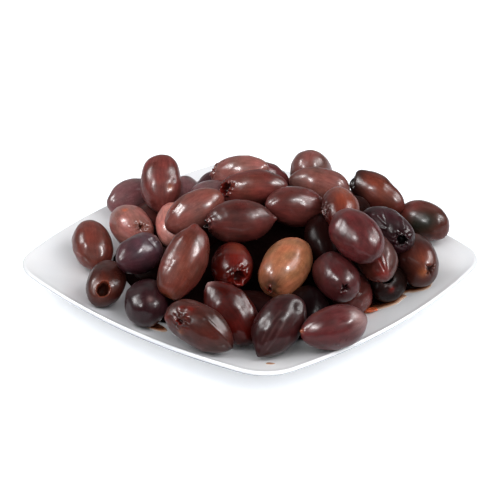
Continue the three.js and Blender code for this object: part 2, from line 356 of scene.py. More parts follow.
# %% The dish's section
FLOOR_WALL, RIM_WALL, LIP_RADIUS = 3.2, 2.2, 0.75  # mm
FOOT_INSIDE, FOOT_OUTSIDE, FOOT_SLANT = 0.5, 0.55, 0.02  # shares of the way to the rim
FOOT_STEPS, FOOT_SOFTENING = 8, 3
LIP_FROM, LIP_TO, LIP_POINTS = -62, 118, 15  # degrees, degrees, count
WALL_END, BOWL_END = 0.972, 0.965  # shares at which the lip takes over
BOWL_KNEE, FIRST_RING = 0.4, 0.02


def dense(path, steps):
    """Fills a path of corner points with `steps` straight steps between neighbours."""
    path = np.asarray(path, float)
    t = np.linspace(0, 1, steps, endpoint=False)[None, :, None]
    filled = path[:-1, None] + (path[1:] - path[:-1])[:, None] * t
    return np.concatenate([filled.reshape(-1, 2), path[-1:]])


def rounded(path, passes):
    """Softens a path's corners: each pass moves the inner points to the mean of their neighbours."""
    path = path.copy()
    for _ in range(passes):
        path[1:-1] = 0.25 * path[:-2] + 0.5 * path[1:-1] + 0.25 * path[2:]
    return path


def dish_section():
    """From the middle of the underside, down round the foot, out, over the lip and back in."""
    def under(share):
        return top_height(share) - (FLOOR_WALL + (RIM_WALL - FLOOR_WALL) * share)

    inner, outer = FOOT_INSIDE - FOOT_SLANT, FOOT_OUTSIDE + FOOT_SLANT
    corners = [(inner, under(inner)), (FOOT_INSIDE, 0), (FOOT_OUTSIDE, 0), (outer, under(outer))]
    foot = rounded(dense(corners, FOOT_STEPS), FOOT_SOFTENING)
    foot[:, 1] -= foot[:, 1].min()
    middle = np.linspace(FIRST_RING, inner, 14, endpoint=False)
    below = np.linspace(outer, WALL_END, 34)[1:]
    turn = np.radians(np.linspace(LIP_FROM, LIP_TO, LIP_POINTS))
    lip_share = 1 + LIP_RADIUS * (np.cos(turn) - 1) / ROUND_RADIUS
    lip = np.stack([lip_share, RIM_HEIGHT - LIP_RADIUS + LIP_RADIUS * np.sin(turn)], axis=1)
    above = np.concatenate([np.linspace(BOWL_END, BOWL_KNEE, 44),
                            np.linspace(BOWL_KNEE - FIRST_RING, FIRST_RING, 12)])
    parts = [np.stack([middle, under(middle)], 1), foot, np.stack([below, under(below)], 1), lip,
             np.stack([above, top_height(above)], 1)]
    return np.concatenate(parts), under(0.0)


print(len(dish_section()[0]), "points from the middle of the foot to the middle of the bowl")

# %% The dish's surface
DISH_COLUMNS = 320
CORNER_CROWDING = 0.6


def make_dish(material):
    """Every ring is the rim's outline shrunk to that share, with columns crowded at the corners."""
    section, under_middle = dish_section()
    turn = np.linspace(0, 2 * math.pi, DISH_COLUMNS, endpoint=False)
    turn = turn - CORNER_CROWDING / 4 * np.sin(4 * turn)
    reach = radius_at(section[:, :1], turn[None, :])
    height = np.repeat(section[:, 1:], DISH_COLUMNS, axis=1)
    rings = np.stack([reach * np.cos(turn), reach * np.sin(turn), height], axis=-1)
    points = np.concatenate([[[0, 0, under_middle]], rings.reshape(-1, 3), [[0, 0, FLOOR_HEIGHT]]])
    quads, triangles = round_faces(len(section), DISH_COLUMNS)
    return new_piece("white_dish", points, quads, triangles, material)


# %% [markdown]
# ## Glaze
# The glaze is a thin layer of white glass. One flat white would look like plastic, so the colour
# drifts a little between a cool and a warm white, the gloss varies, and a faint ripple bends the
# reflections. A second clear coat could be left out, but it gives the crisp glints on the rim.

# %% Glaze material
COOL_WHITE, WARM_WHITE = linear(220, 222, 226), linear(225, 225, 227)
GLAZE_CLOUD, GLAZE_SMEAR, GLAZE_RIPPLE = 45.0, 130.0, 60.0  # bumps of noise per metre
GLAZE_SMOOTHEST, GLAZE_DULLEST = 0.13, 0.2
RIPPLE_HEIGHT = 0.0004  # metres


def glaze_material():
    """White glaze: almost even, a little cooler in places, with a faint ripple in its gloss."""
    material, shader = new_material("white_glaze")
    place = object_place(material)
    cloud = remap(material, noise(material, place, GLAZE_CLOUD, 2.0), 0.3, 0.7, 0.0, 1.0)
    colour = mix_colours(material, cloud, rgba(COOL_WHITE), rgba(WARM_WHITE))
    plug(material, shader.inputs["Base Color"], colour)
    gloss = remap(material, noise(material, place, GLAZE_SMEAR, 3.0), 0.35, 0.65,
                  GLAZE_SMOOTHEST, GLAZE_DULLEST)
    plug(material, shader.inputs["Roughness"], gloss)
    shader.inputs["IOR"].default_value = 1.5
    shader.inputs["Coat Weight"].default_value = 0.3
    shader.inputs["Coat Roughness"].default_value = 0.08
    add_bump(material, shader, noise(material, place, GLAZE_RIPPLE, 2.0), 0.08, RIPPLE_HEIGHT)
    return material


dish = make_dish(glaze_material())
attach(dish, "root")
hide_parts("dish")

# %% [markdown]
# ## Where the olives lie
# A heap of loose food could be dropped by a physics run, but a served heap has its own look, so
# each olive that shows is laid one by one: the place of its middle in mm, the heading of its stem end
# and how far that end points up, its length and its thickness. Two more words give its colour and
# what its stem end looks like where the stone was pushed out.

# %% The heap
# label, colour, stem end, x, y, z, heading, tilt, length, thickness
HEAP = [
    # front row, on the dish
    ("front_right", "plum", "shut", 24.7, -66, 21, 20, 5, 25.2, 15.6),
    ("front_left", "brown", "torn", -22, -64, 21, 150, 20, 27.5, 15.5),
    ("front", "plum", "shut", 5, -63, 20, 50, 30, 26.5, 16),
    ("front_slanted", "red", "shut", -10.9, -53, 20.8, -40, -40, 27, 16.3),
    ("front_dark", "ink", "shut", -40, -40, 18, -95, 5, 24.5, 15.5),
    # right side, from the front to the back
    ("right_hidden", "maroon", "shut", 34, -28, 15, -85, 5, 24, 15),
    ("right_in_juice", "juicy", "hole", 48.5, -24.8, 16, 65, -10, 24, 11.5),
    ("right_starred", "plum", "star", 27.5, -39, 27, -75, 0, 25, 15.6),
    ("right_pink", "brown", "shut", 43, -30, 29.5, -80, -10, 23.5, 14),
    ("right_upper", "plum", "shut", 35, -33, 40, 115, 10, 26.5, 16.5),
    ("right_low", "brown", "star", 59, -13, 20, -75, -10, 25, 16),
    ("right_wrinkled", "ink", "torn", 49, -10, 31, -50, -10, 24, 14),
    ("right_end", "brown", "shut", 66, 18, 20, -55, 5, 24, 15),
    ("right_back", "brown", "shut", 49.6, 27, 27.0, 140, 17, 24, 13.2),
    # left side, from the front to the back
    ("left_holed", "brown", "hole", -54, -24, 18, -105, -5, 24, 13.5),
    ("left_ink", "ink", "torn", -42, -19, 27, 55, -5, 24, 14),
    ("tall", "brown", "shut", -26.8, -37, 32.2, 55, 40, 29, 15.4),
    ("left_end", "brown", "shut", -58.4, 7, 17, 95, 10, 24.5, 15),
    ("left_nicked", "rose", "torn", -44, 12, 22.3, -75, 5, 24.5, 15),
    ("left_back", "mauve", "shut", -42.7, 43, 18.1, 45, -5, 24, 14),
    ("left_upright", "maroon", "shut", -32, 31, 30, 90, 35, 24.5, 15.5),
    ("left_pale", "rose", "shut", -28, 7, 24.8, -85, -5, 24, 14),
    ("left_grey", "mauve", "shut", -22.1, 40, 20.1, -85, -5, 24, 13.5),
    # middle and top of the heap
    ("middle_red", "red", "torn", -9, -29, 27, -90, 5, 24, 15),
    ("tan", "tan", "torn", 10, -33, 28, -120, -15, 27.5, 17),
    ("middle_pointed", "maroon", "torn", -5, -14, 37, -175, 0, 25.5, 15.5),
    ("middle_left", "brown", "shut", -21.5, -5, 36.4, 25, 20, 24.5, 15),
    ("middle_right", "maroon", "torn", 15.8, -1, 36, 20, -15, 25, 15.2),
    ("split", "red", "torn", 31.5, -9, 38.9, 90, 0, 24, 13.3),
    ("top_left", "maroon", "torn", 1, 9, 39, 170, -10, 25.5, 13.5),
    ("back_blue", "mauve", "shut", -13.5, 14, 32.2, 45, -25, 24, 13.5),
    ("top_back", "rose", "torn", -3, 23, 38, 150, -25, 24, 14),
    ("top_right", "rose", "shut", 27, 24, 32, -25, -5, 24, 14),
    ("top", "rose", "star", 25.5, 42, 28.5, -100, 40, 25.5, 16.4),
    ("back_grey", "plum", "shut", 8, 34, 29, 30, -40, 24, 14.5),
    ("back_small", "ink", "shut", -9.5, 35, 26, 45, -20, 24, 13.5),
    # back, on the dish
    ("rear_left", "maroon", "shut", -36, 31, 15, 45, 0, 25.5, 14),
    ("rear", "brown", "shut", -10, 49, 17, 5, 20, 25, 16),
    ("rear_last", "plum", "hole", 2, 62, 17, -30, 15, 24, 13.5),
    ("rear_middle", "maroon", "star", 13, 48, 16, 60, -10, 25, 13.5),
    ("rear_right", "brown", "shut", 42, 35, 17, 30, 0, 26, 13.5),
    # inside the heap, seen through the gaps
    ("inside_front", "ink", "shut", 17, -47, 18, 90, -10, 25, 15.5),
    ("inside_left_front", "maroon", "shut", -1, -43, 16, 165, 10, 24, 14),
    ("inside_right", "maroon", "shut", 25, -15, 29, 95, 20, 23.5, 13.5),
    ("inside_left", "brown", "shut", -35, -8, 16, 135, -10, 24, 14.5),
    ("inside_middle", "plum", "shut", -10, 1, 24, 125, 10, 25.5, 15.5),
    ("inside_right_back", "brown", "shut", 39, 8, 25, 90, 10, 24, 15.5),
    ("inside_right_end", "plum", "shut", 53, 8, 18, 90, 10, 25, 15),
    ("inside_back", "ink", "shut", 15, 17, 24, 170, -10, 24, 14),
    ("inside_left_back", "maroon", "shut", -28, 18, 15, 20, 10, 24, 14.5),
    ("inside_rear", "brown", "shut", 23, 37, 16, 20, 0, 25, 16),
]
print(len(HEAP), "olives,", sum(row[2] != "shut" for row in HEAP), "of them torn or cut open")

# %% Laying the olives down
GAP = 0.4  # mm between an olive and the dish
BALLS = 7  # that fill an olive when its height is tried
SLOPE_STEP = 0.5  # mm to either side of a point where the dish's slope is measured


def unit(heading, tilt):
    """Direction of a heading and a tilt in degrees: level part times cosine, upright part sine."""
    turn, lift = math.radians(heading), math.radians(tilt)
    level = math.cos(lift)
    return np.array([math.cos(turn) * level, math.sin(turn) * level, math.sin(lift)])


def resting_height(x, y, axis, length, thickness):
    """Lowest height of its middle at which an olive clears the dish. The olive is filled with a
    row of balls, and each ball stands on the slope below it, which lifts it by its radius times
    the root of 1 plus the slope squared."""
    half, radius = length / 2, thickness / 2
    spread = half ** 2 - radius ** 2
    offset = np.linspace(-1, 1, BALLS) * spread / half
    ball = radius * np.sqrt(1 - offset ** 2 / spread)
    bx, by = x + offset * axis[0], y + offset * axis[1]
    step = SLOPE_STEP
    along_x = (dish_height(bx + step, by) - dish_height(bx - step, by)) / (2 * step)
    along_y = (dish_height(bx, by + step) - dish_height(bx, by - step)) / (2 * step)
    stretch = np.sqrt(1 + along_x ** 2 + along_y ** 2)
    return float((dish_height(bx, by) + GAP + ball * stretch - offset * axis[2]).max())


def lay(row):
    """Names a row's values and lifts the olive where it would sink into the dish."""
    label, colour, stem, x, y, z, heading, tilt, length, thickness = row
    axis = unit(heading, tilt)
    height = max(z, resting_height(x, y, axis, length, thickness))
    return {"label": label, "colour": colour, "stem": stem, "axis": axis,
            "middle": np.array([x, y, height]), "length": length, "thickness": thickness}


def is_inside(olive):
    """Whether an olive lies within the heap, where only gaps show it."""
    return olive["label"].startswith("inside")


olives = [lay(row) for row in HEAP]
raised = sum(o["middle"][2] > row[5] for o, row in zip(olives, HEAP))
print(raised, "olives were raised onto the dish; the highest lies at",
      max(o["middle"][2] for o in olives), "mm")

# %% [markdown]
# ## The shape of an olive
# An olive is close to an egg: round across, blunt at the stem end and drawn out at the tip. It
# could be a scaled ball, but then all ends would match, so the reach from the axis follows
# (1 - |s| ** m) ** n instead, where s runs from -1 at the tip to 1 at the stem end. Small n draws
# an end out flat and large n makes it pointed. The machine that pushes out the stone leaves a round
# hole, a ragged tear or a small star of slits, and often a little to the side. So the grid's rings
# are wound round the mouth, wherever it sits, and step down into it.

# %% Surface of one olive
def ball_points(mouth, far_to_near):
    """Points on a unit ball. `mouth` is the direction of the grid's last pole and far_to_near
    holds the angle from the opposite pole for every ring and column. A point is minus the cosine
    of its angle along the mouth's direction plus its sine across it."""
    side = np.cross([0.0, 0.0, 1.0] if abs(mouth[2]) < 0.95 else [0.0, 1.0, 0.0], mouth)
    side /= np.linalg.norm(side)
    other = np.cross(mouth, side)
    turn, _ = circle(far_to_near.shape[1])
    sideways = np.cos(turn)[:, None] * side + np.sin(turn)[:, None] * other
    angle = far_to_near[..., None]
    return -np.cos(angle) * mouth + np.sin(angle) * sideways


def egg(ball, olive):
    """Carries points of a unit ball to the olive: z stretches to half the length, and x and y to
    the reach of the section there, a little oval and with the ends bent to one side."""
    s = np.clip(ball[..., 2], -1, 1)
    across = np.sqrt(np.maximum(1 - s ** 2, 1e-12))
    tip = np.maximum(1 - s ** 2, 0) ** olive["tip_power"]
    stem = np.maximum(1 - np.abs(s) ** olive["stem_fullness"], 0) ** olive["stem_power"]
    reach = olive["thickness"] / 2 * np.where(s < 0, tip, stem)
    turn = np.arctan2(ball[..., 1], ball[..., 0])
    reach = reach * (1 + olive["oval"] * np.cos(2 * (turn - olive["oval_turn"])))
    x, y = reach * ball[..., 0] / across, reach * ball[..., 1] / across
    bend = olive["bend"] * (s ** 2 - 0.3)
    x = x + bend * math.cos(olive["bend_turn"])
    y = y + bend * math.sin(olive["bend_turn"])
    return np.stack([x, y, s * olive["length"] / 2], axis=-1)


def outward(local, olive):
    """Unit direction square to the skin, taken from the plain egg of the same size."""
    scale = np.array([olive["thickness"] / 2, olive["thickness"] / 2, olive["length"] / 2])
    normal = local / scale ** 2
    return normal / np.linalg.norm(normal, axis=-1, keepdims=True)


def on_ball(along, turn):
    """Direction on the unit ball for a place given by its share along the axis and its turn in
    degrees about the axis from the side that faces the viewer."""
    across, angle = math.sqrt(max(1 - along ** 2, 0.0)), math.radians(turn)
    return np.array([across * math.cos(angle), across * math.sin(angle), along])


plain = {"length": 25.0, "thickness": 15.0, "tip_power": 0.58, "stem_power": 0.5,
         "stem_fullness": 2.3, "oval": 0.0, "oval_turn": 0.0, "bend": 0.0, "bend_turn": 0.0}
for share in (-0.8, 0.0, 0.8):
    place = egg(on_ball(share, 0)[None], plain)[0]
    print("at", share, "a plain olive reaches", round(float(place[0]), 1), "mm from its axis")

# %% [markdown]
# ## Stamps and creases
# Dents, nicks and folds could be sculpted with a brush, but a formula can be moved and tuned. Two
# are enough: a soft oval stamp, and a line with a soft edge. Both give 1 in their middle and fade
# to 0, and they serve for the height of the skin as well as for its colour.

# %% Stamps and creases
CREASE_BACK = -0.3  # cosine of the turn past which a crease ends, on the far side


def stamp(local, olive, along, turn, along_mm, around_mm):
    """1 at a place on the skin and fading over the two distances like a bell: e to the power of
    minus the distance squared."""
    centre = egg(on_ball(along, turn)[None], olive)[0]
    apart = local - centre
    around = np.hypot(apart[..., 0], apart[..., 1])
    return np.exp(-(apart[..., 2] / along_mm) ** 2 - (around / around_mm) ** 2)


def crease(local, olive, first, last, width):
    """1 along a line on the skin and fading like a bell over its width. The skin is unrolled to a
    flat sheet, mm along by mm around, and the distance to the line's nearest point is taken there.
    Both ends of the line are given by their share along the axis and their turn in degrees."""
    middle = math.radians((first[1] + last[1]) / 2)
    turn = np.arctan2(local[..., 1], local[..., 0]) - middle
    turn = np.arctan2(np.sin(turn), np.cos(turn))
    sheet = np.stack([local[..., 2], turn * np.hypot(local[..., 0], local[..., 1])], axis=-1)
    ends = []
    for along, end_turn in (first, last):
        reach = olive["thickness"] / 2 * math.sqrt(max(1 - along ** 2, 0.05))
        around = (math.radians(end_turn) - middle) * reach
        ends.append(np.array([along * olive["length"] / 2, around]))
    line = ends[1] - ends[0]
    share = np.clip((sheet - ends[0]) @ line / (line @ line), 0, 1)
    gap = np.linalg.norm(sheet - ends[0] - share[..., None] * line, axis=-1)
    return bell(gap, width) * np.where(np.cos(turn) > CREASE_BACK, 1.0, 0.0)


skin = egg(ball_points(on_ball(1, 0), np.linspace(0.1, 3.0, 40)[:, None] * np.ones((1, 60))), plain)
covered = float((stamp(skin, plain, 0.0, 0.0, 4.0, 4.0) > 0.5).mean())
print("a 4 mm stamp covers", round(100 * covered, 1), "% of a plain olive's points")

# %% [markdown]
# ## Colours
# Cured olives run from tan through red-brown to nearly black, and each has its own shade. A colour
# for each kind is multiplied by a shade for each olive, so that a kind stays one family. That shade
# is partly the olive's own tone and partly painted light: most olives at the front are darkened, and
# several at the back are lightened.

# %% Colours of the kinds and of the stains
PALETTE = {
    "brown": linear(98, 46, 38),
    "maroon": linear(98, 46, 42),
    "plum": linear(84, 35, 36),
    "ink": linear(58, 28, 33),
    "red": linear(88, 16, 8),
    "tan": linear(168, 106, 74),
    "rose": linear(116, 72, 66),
    "mauve": linear(92, 60, 62),
    # juicy: near black partly as painted shade, for an olive that lies low under the others
    "juicy": linear(30, 14, 12),
}
STAINS = {
    "flesh": linear(150, 82, 46),
    "bright": linear(178, 84, 50),
    "rust": linear(124, 60, 42),
    # dark serves for dark skin and also as painted shade in dents, clefts, slits and holes
    "dark": linear(18, 9, 10),
    "green": linear(30, 30, 24),
    # pale serves for pale spots and also as a painted highlight
    "pale": linear(150, 118, 116),
    "crimson": linear(110, 28, 22),
    # painted sheen: a blue-grey wash that stands for a reflection on dark skin
    "painted_sheen": linear(96, 92, 106),
}
print(len(PALETTE), "colours of skin and", len(STAINS), "stains")

# %% [markdown]
# ## Mouths and ends
# The stem end of a pitted olive is seldom a plain point. Its mouth may sit askew, be a clean hole
# or a rag, and show paler or darker flesh inside. Chance could set all this, but the olives that
# show are each known by name, so their mouths, ends and shades are listed.

# %% Mouths and ends
# name: share along, turn, radius in mm, colour inside; a dark inside is painted shade in and round the
# mouth
MOUTHS = {
    "front_left": (0.43, -14, 1.0, "crimson"),
    "left_holed": (0.84, -2, 2.8, "rust"),
    "left_nicked": (0.87, -43, 0.8, "rust"),
    "left_ink": (0.97, -10, 0.9, "dark"),
    "right_starred": (0.97, -2, 0, "dark"),
    "right_low": (0.89, -46, 0, "dark"),
    "right_wrinkled": (0.86, 7, 2.0, "dark"),
    "right_in_juice": (-0.6, -30, 2.2, "dark"),
    "right_back": (0.99, 0, 1.0, "dark"),
    "top": (0.90, -20, 1.2, "dark"),
    "middle_right": (0.86, 5, 1.6, "bright"),
    "middle_pointed": (0.99, -23, 1.5, "dark"),
    "top_left": (0.82, 12, 2.3, "crimson"),
    "top_back": (0.8, 50, 1.8, "crimson"),
    "middle_red": (0.97, -98, 2.6, "crimson"),
    "tan": (0.99, 20, 0.9, "crimson"),
    "split": (-0.3, -75, 1.2, "pale"),
    "rear_last": (1.0, 0, 2.6, "dark"),
}
NO_MOUTH = (1.0, 0.0, 0.0, "dark")
# name: tip power, stem power, shade (the olive's own tone with painted light in it)
SHAPES = {
    "front_right": (0.55, 0.68, 0.71),
    "front_left": (0.80, 0.50, 0.39),
    "front": (0.78, 0.54, 0.25),
    "front_slanted": (0.74, 0.54, 0.38),
    "front_dark": (0.58, 0.50, 0.49),
    "right_hidden": (0.58, 0.50, 0.62),
    "right_in_juice": (0.58, 0.50, 0.59),
    "right_starred": (0.58, 0.50, 0.56),
    "right_pink": (0.60, 0.66, 0.36),
    "right_upper": (0.58, 0.50, 0.78),
    "right_low": (0.58, 0.50, 0.35),
    "right_wrinkled": (0.58, 0.50, 0.6),
    "right_end": (0.58, 0.50, 0.68),
    "right_back": (0.58, 0.50, 0.56),
    "left_holed": (0.56, 0.50, 0.33),
    "left_ink": (0.66, 0.62, 1.12),
    "tall": (0.46, 0.52, 0.72),
    "left_end": (0.58, 0.50, 0.94),
    "left_nicked": (0.56, 0.50, 1.26),
    "left_back": (0.56, 0.50, 1.47),
    "left_upright": (0.66, 0.42, 0.88),
    "left_pale": (0.56, 0.50, 2.6),
    "left_grey": (0.58, 0.50, 1.4),
    "middle_red": (0.55, 0.50, 0.53),
    "tan": (0.52, 0.50, 0.7),
    "middle_pointed": (0.74, 0.50, 0.56),
    "middle_left": (0.58, 0.50, 1),
    "middle_right": (0.62, 0.50, 0.61),
    "split": (0.58, 0.50, 0.6),
    "top_left": (0.58, 0.50, 0.69),
    "back_blue": (0.58, 0.50, 1.18),
    "top_back": (0.60, 0.50, 1),
    "top_right": (0.60, 0.50, 0.64),
    "top": (0.58, 0.50, 0.68),
    "rear_left": (0.58, 0.50, 0.52),
}
print(len(MOUTHS), "olives have a mouth of their own")

# %% [markdown]
# ## Marks on the skin
# No two cured olives match. Each one has its own dents, folds, nicks that show the paler flesh,
# dark bruises and pale scuffs. Some of the stains are painted light instead: dark ones in dents,
# clefts and down a side for shade, and pale or blue-grey washes for sheen. Noise alone would put
# none of them where they belong, so they are listed by the olive's name. Stamps are soft oval spots,
# and creases are lines that stand up as ridges or sink in as wrinkles. Both can carry a stain, and a
# row that has none leaves it off.

# %% Marks
# name: along, turn, along mm, around mm, height mm, stain, strength
MARKS = {
    "left_holed": [(0.80, 12, 3.6, 3.6, -0.7, "rust", 0.6), (0.3, -60, 3, 3, 0.3)],
    "left_end": [(-0.8, 10, 2.5, 2.5, -0.5)],
    "left_nicked": [(0.09, -19, 1.4, 1.0, -0.3, "bright", 0.9), (0.66, -97, 3, 2, 0.6)],
    # left_ink: the dark stain in its two dents is painted shade, and its wide blue-grey wash is a
    # painted sheen
    "left_ink": [(-0.01, -10, 3.5, 2.2, -0.5, "dark", 0.3), (0.64, -4, 3, 3, -1.0, "dark", 0.6),
                 (-0.2, 25, 4, 2.5, 0.0, "crimson", 0.15), (-0.1, 0, 9, 6, 0.0, "painted_sheen", 0.2)],
    "tall": [(0.51, -57, 1.1, 0.9, -0.4, "dark", 0.4), (0.94, -50, 1.7, 1.7, 1.2),
             (-1.0, 0, 3.0, 3.0, -1.2, "flesh", 0.5), (-0.2, 0, 8, 5, 0.0, "rust", 0.3)],
    "front_dark": [(0.75, -17, 1.2, 1.2, -0.4, "pale", 0.3), (0.1, 60, 4, 1.5, 0.4)],
    "front_left": [(0.38, 28, 1.6, 1.6, 0.5, "crimson", 0.5), (0.84, -41, 1.5, 1.6, 0.6, "crimson", 0.4),
                   (0.3, -40, 1.2, 1.2, 0.4, "flesh", 0.3), (0.62, 20, 1.2, 1.2, 0.5, "crimson", 0.5),
                   (0.43, -14, 2.0, 2.0, 0.4), (-0.96, -2, 2.0, 2.0, 0.0, "dark", 0.8)],
    "front_slanted": [(-0.98, 0, 2.0, 2.2, 0.0, "pale", 0.8)],
    # front: the dark stain in the hollow near its stem end is painted shade
    "front": [(-0.98, -53, 1.6, 1.6, 0.5, "dark", 0.5), (0.62, 20, 2.2, 2.2, -0.8, "dark", 0.4)],
    # front_right: the wide pale patch near its stem end is a painted highlight
    "front_right": [(-0.97, -63, 0.8, 0.8, 0.9, "flesh", 0.6), (0.70, -8, 4.5, 4, 0.0, "pale", 0.7),
                    (0.09, -24, 3.5, 2.5, -0.4)],
    "tan": [(-0.9, 20, 2.5, 3, 0.0, "crimson", 0.45), (-1.0, 0, 1.5, 1.5, 1.0, "crimson", 0.6),
            (0.95, 20, 3, 4, 0.0, "dark", 0.8), (0.6, 80, 4, 3, 0.0, "rust", 0.5)],
    "middle_red": [(0.59, -33, 4, 4, -0.4, "crimson", 0.35), (0.1, -25, 4, 3, 0.0, "rust", 0.4),
                   (-0.2, 40, 5, 3, 0.0, "dark", 0.5)],
    "right_upper": [(0.77, -47, 1.2, 1.6, -0.2, "bright", 0.6), (-0.98, -17, 2, 2, 0.2, "dark", 0.4),
                    (0.5, 30, 4, 4, 0.0, "crimson", 0.25)],
    "right_pink": [(0.3, -40, 7, 3, 0.0, "pale", 0.12), (0.97, 0, 2.5, 2.5, 0.3, "crimson", 0.8)],
    # right_low: the broad dark patch down one side is painted shade
    "right_low": [(0.72, -28, 4, 4, 0.0, "rust", 0.6), (0.0, 55, 12, 6, 0.0, "dark", 0.7),
                  (0.93, -14, 1.5, 1.3, 0.5, "flesh", 0.5), (0.95, 5, 1.5, 1.5, 0.4, "flesh", 0.5)],
    "right_wrinkled": [(0.5, 0, 4, 4, 0.0, "dark", 0.6)],
    "right_end": [(0.62, 0, 4.5, 5.0, -0.3, "green", 1.0), (0.35, 25, 4.5, 4.5, 0.0, "green", 1.0)],
    "right_back": [(0.4, -60, 8, 4.5, 0.0, "dark", 0.8), (0.75, -5, 4.5, 6.0, 0.0, "dark", 0.85),
                   (0.90, -30, 4.2, 6.5, -0.2, "dark", 0.9), (0.85, -50, 2.0, 2.2, 0.6),
                   (0.85, 50, 2.0, 2.2, 0.5), (0.0, 20, 8, 4, 0.0, "rust", 0.5)],
    # split: the dark patch down one side is painted shade
    "split": [(0.1, 30, 12, 6.0, 0.0, "rust", 0.9), (-0.2, -65, 7, 3.5, -0.2, "dark", 0.6)],
    "left_back": [(0.5, 0, 7, 9, 0.0, "dark", 0.4)],
    "right_in_juice": [(-0.75, -45, 1.8, 1.8, 0.7, "pale", 0.35), (-0.9, 0, 1.4, 1.4, 0.6),
                       (-0.7, 30, 1.4, 1.2, 0.5, "crimson", 0.5)],
    "top_right": [(0.2, -10, 6, 5, 0.0, "rust", 0.25)],
    "middle_right": [(-0.09, -12, 0.5, 0.5, -0.1, "dark", 0.7), (0.05, 8, 0.45, 0.45, -0.1, "dark", 0.6),
                     (0.15, -60, 1.2, 1.2, 0.5)],
    "middle_pointed": [(-0.98, 11, 1.0, 1.0, 0.7), (0.1, 30, 4, 3, 0.0, "dark", 0.35)],
    "left_upright": [(-0.37, 32, 1.2, 1.2, -0.2, "flesh", 0.6), (-0.1, 44, 0.8, 0.8, -0.3, "dark", 0.7),
                     (1.0, 0, 3.0, 5.0, -0.9)],
    "middle_left": [(0.0, 0, 14, 10, 0.0, "pale", 0.14), (0.7, -10, 4, 4, 0.0, "rust", 0.3)],
    "top_left": [(0.1, 10, 7, 4, 0.0, "rust", 0.3)],
}
print(sum(map(len, MARKS.values())), "stamps")

# %% Creases
# name: first end, last end, width mm, height mm, stain, strength
CREASES = {
    "front_left": [((-0.1, 28), (-0.92, 5), 0.75, 0.6)],
    "front_slanted": [((-0.3, -75), (0.6, -55), 0.9, 0.5)],
    "tall": [((-0.34, -75), (-0.36, -15), 0.35, -0.25),
             ((-0.22, -60), (-0.25, 5), 0.35, -0.22),
             ((-0.10, -50), (-0.12, 20), 0.3, -0.16)],
    "left_ink": [((0.22, -25), (0.40, -18), 0.5, 0.4),
                 ((0.34, -5), (0.52, 0), 0.5, 0.4),
                 ((0.10, -20), (0.14, 20), 0.5, -0.35)],
    "right_pink": [((0.15, -45), (0.95, -30), 0.9, 0.15, "pale", 0.1),
                   ((0.55, 0), (0.92, -12), 0.5, -0.3, "crimson", 0.8),
                   ((0.5, -22), (0.9, -28), 0.4, -0.2, "crimson", 0.6)],
    "right_wrinkled": [((-0.3, -45), (0.2, -12), 0.5, 0.4),
                       ((-0.25, -15), (0.25, -5), 0.45, 0.4),
                       ((-0.1, 20), (0.3, 5), 0.45, 0.4),
                       ((0.3, -60), (0.7, -35), 0.7, 0.5),
                       ((0.35, 35), (0.75, 30), 0.6, 0.5)],
    # right_back: the dark stain along the cleft between its lobes is painted shade
    "right_back": [((0.70, -40), (0.97, 40), 0.7, -0.9, "dark", 0.5)],
    "top_right": [((0.10, -60), (0.14, 15), 0.4, -0.2),
                  ((0.22, -60), (0.26, 15), 0.4, -0.2),
                  ((0.33, -55), (0.37, 10), 0.35, -0.16)],
    "front": [((-0.8, 20), (0.1, 4), 0.35, 0.04, "pale", 0.08),
              ((-0.75, -5), (0.0, -8), 0.35, 0.03, "pale", 0.06),
              ((-0.7, -25), (0.2, -18), 0.35, 0.03, "pale", 0.06)],
    "middle_left": [((-0.9, -40), (-0.3, -45), 0.8, 0.4)],
}
print(sum(map(len, CREASES.values())), "creases")

# %% [markdown]
# ## Stars
# A blunt punch splits the stem end into a small star of slits. Cutting the mesh would leave loose
# edges, so each slit is a narrow, deep crease that starts at the mouth and fades out along the skin.
# The slits are also darkened as painted shade.

# %% Stars
SLIT_ARMS, SLIT_LENGTH, SLIT_HALF_WIDTH, SLIT_DEPTH = 4, 3.0, 0.5, 1.4  # count, then mm
SLIT_ASKEW = 0.22  # spread of the arms' turns, in radians


def slits(local, centre, draw):
    """Depth of a star of slits, 0 to 1. Across an arm it falls like a bell whose width shrinks
    towards the arm's end, and along the arm it fades in a soft step."""
    apart = local - centre
    normal = centre / np.linalg.norm(centre)
    side = np.cross(normal, [0.3, 0.9, 0.1])
    side /= np.linalg.norm(side)
    other = np.cross(normal, side)
    first = draw.uniform(0, math.pi)
    wobble = 0.25 * waves(local, 1.6, draw)
    depth = np.zeros(local.shape[:-1])
    for arm in range(SLIT_ARMS):
        turn = first + arm * math.pi / 2 + draw.normal(0, SLIT_ASKEW)
        arm_length = SLIT_LENGTH * draw.uniform(0.6, 1.2)
        way = math.cos(turn) * side + math.sin(turn) * other
        out = apart @ way
        off = apart @ np.cross(normal, way) + wobble
        taper = 1.2 - 0.8 * np.clip(out / arm_length, 0, 1)
        width = SLIT_HALF_WIDTH * draw.uniform(0.8, 1.4) * taper
        fade = smooth_step(arm_length, arm_length * 0.5, out) * smooth_step(-0.8, 0.1, out)
        depth = np.maximum(depth, bell(off, width) * fade)
    near = np.linalg.norm(apart, axis=-1) < 2 * SLIT_LENGTH
    return depth * near


star = slits(skin, egg(on_ball(1, 0)[None], plain)[0], np.random.default_rng(3))
print("a star cuts", round(SLIT_DEPTH * float(star.max()), 1), "mm deep")

# %% [markdown]
# ## One olive from skin to mouth
# All of it comes together here. The plain egg gets its own tip, stem end, bend and shade. Broad
# swells and small dents are drawn, marks and creases are pressed in, the stem end is shaped, and an
# open mouth is lined with rings that step down into the flesh. The olive could be cut open with a
# boolean, but rings that run on from the skin leave no seam. Each point keeps its colour, its place
# along the grain and its wetness for the material.

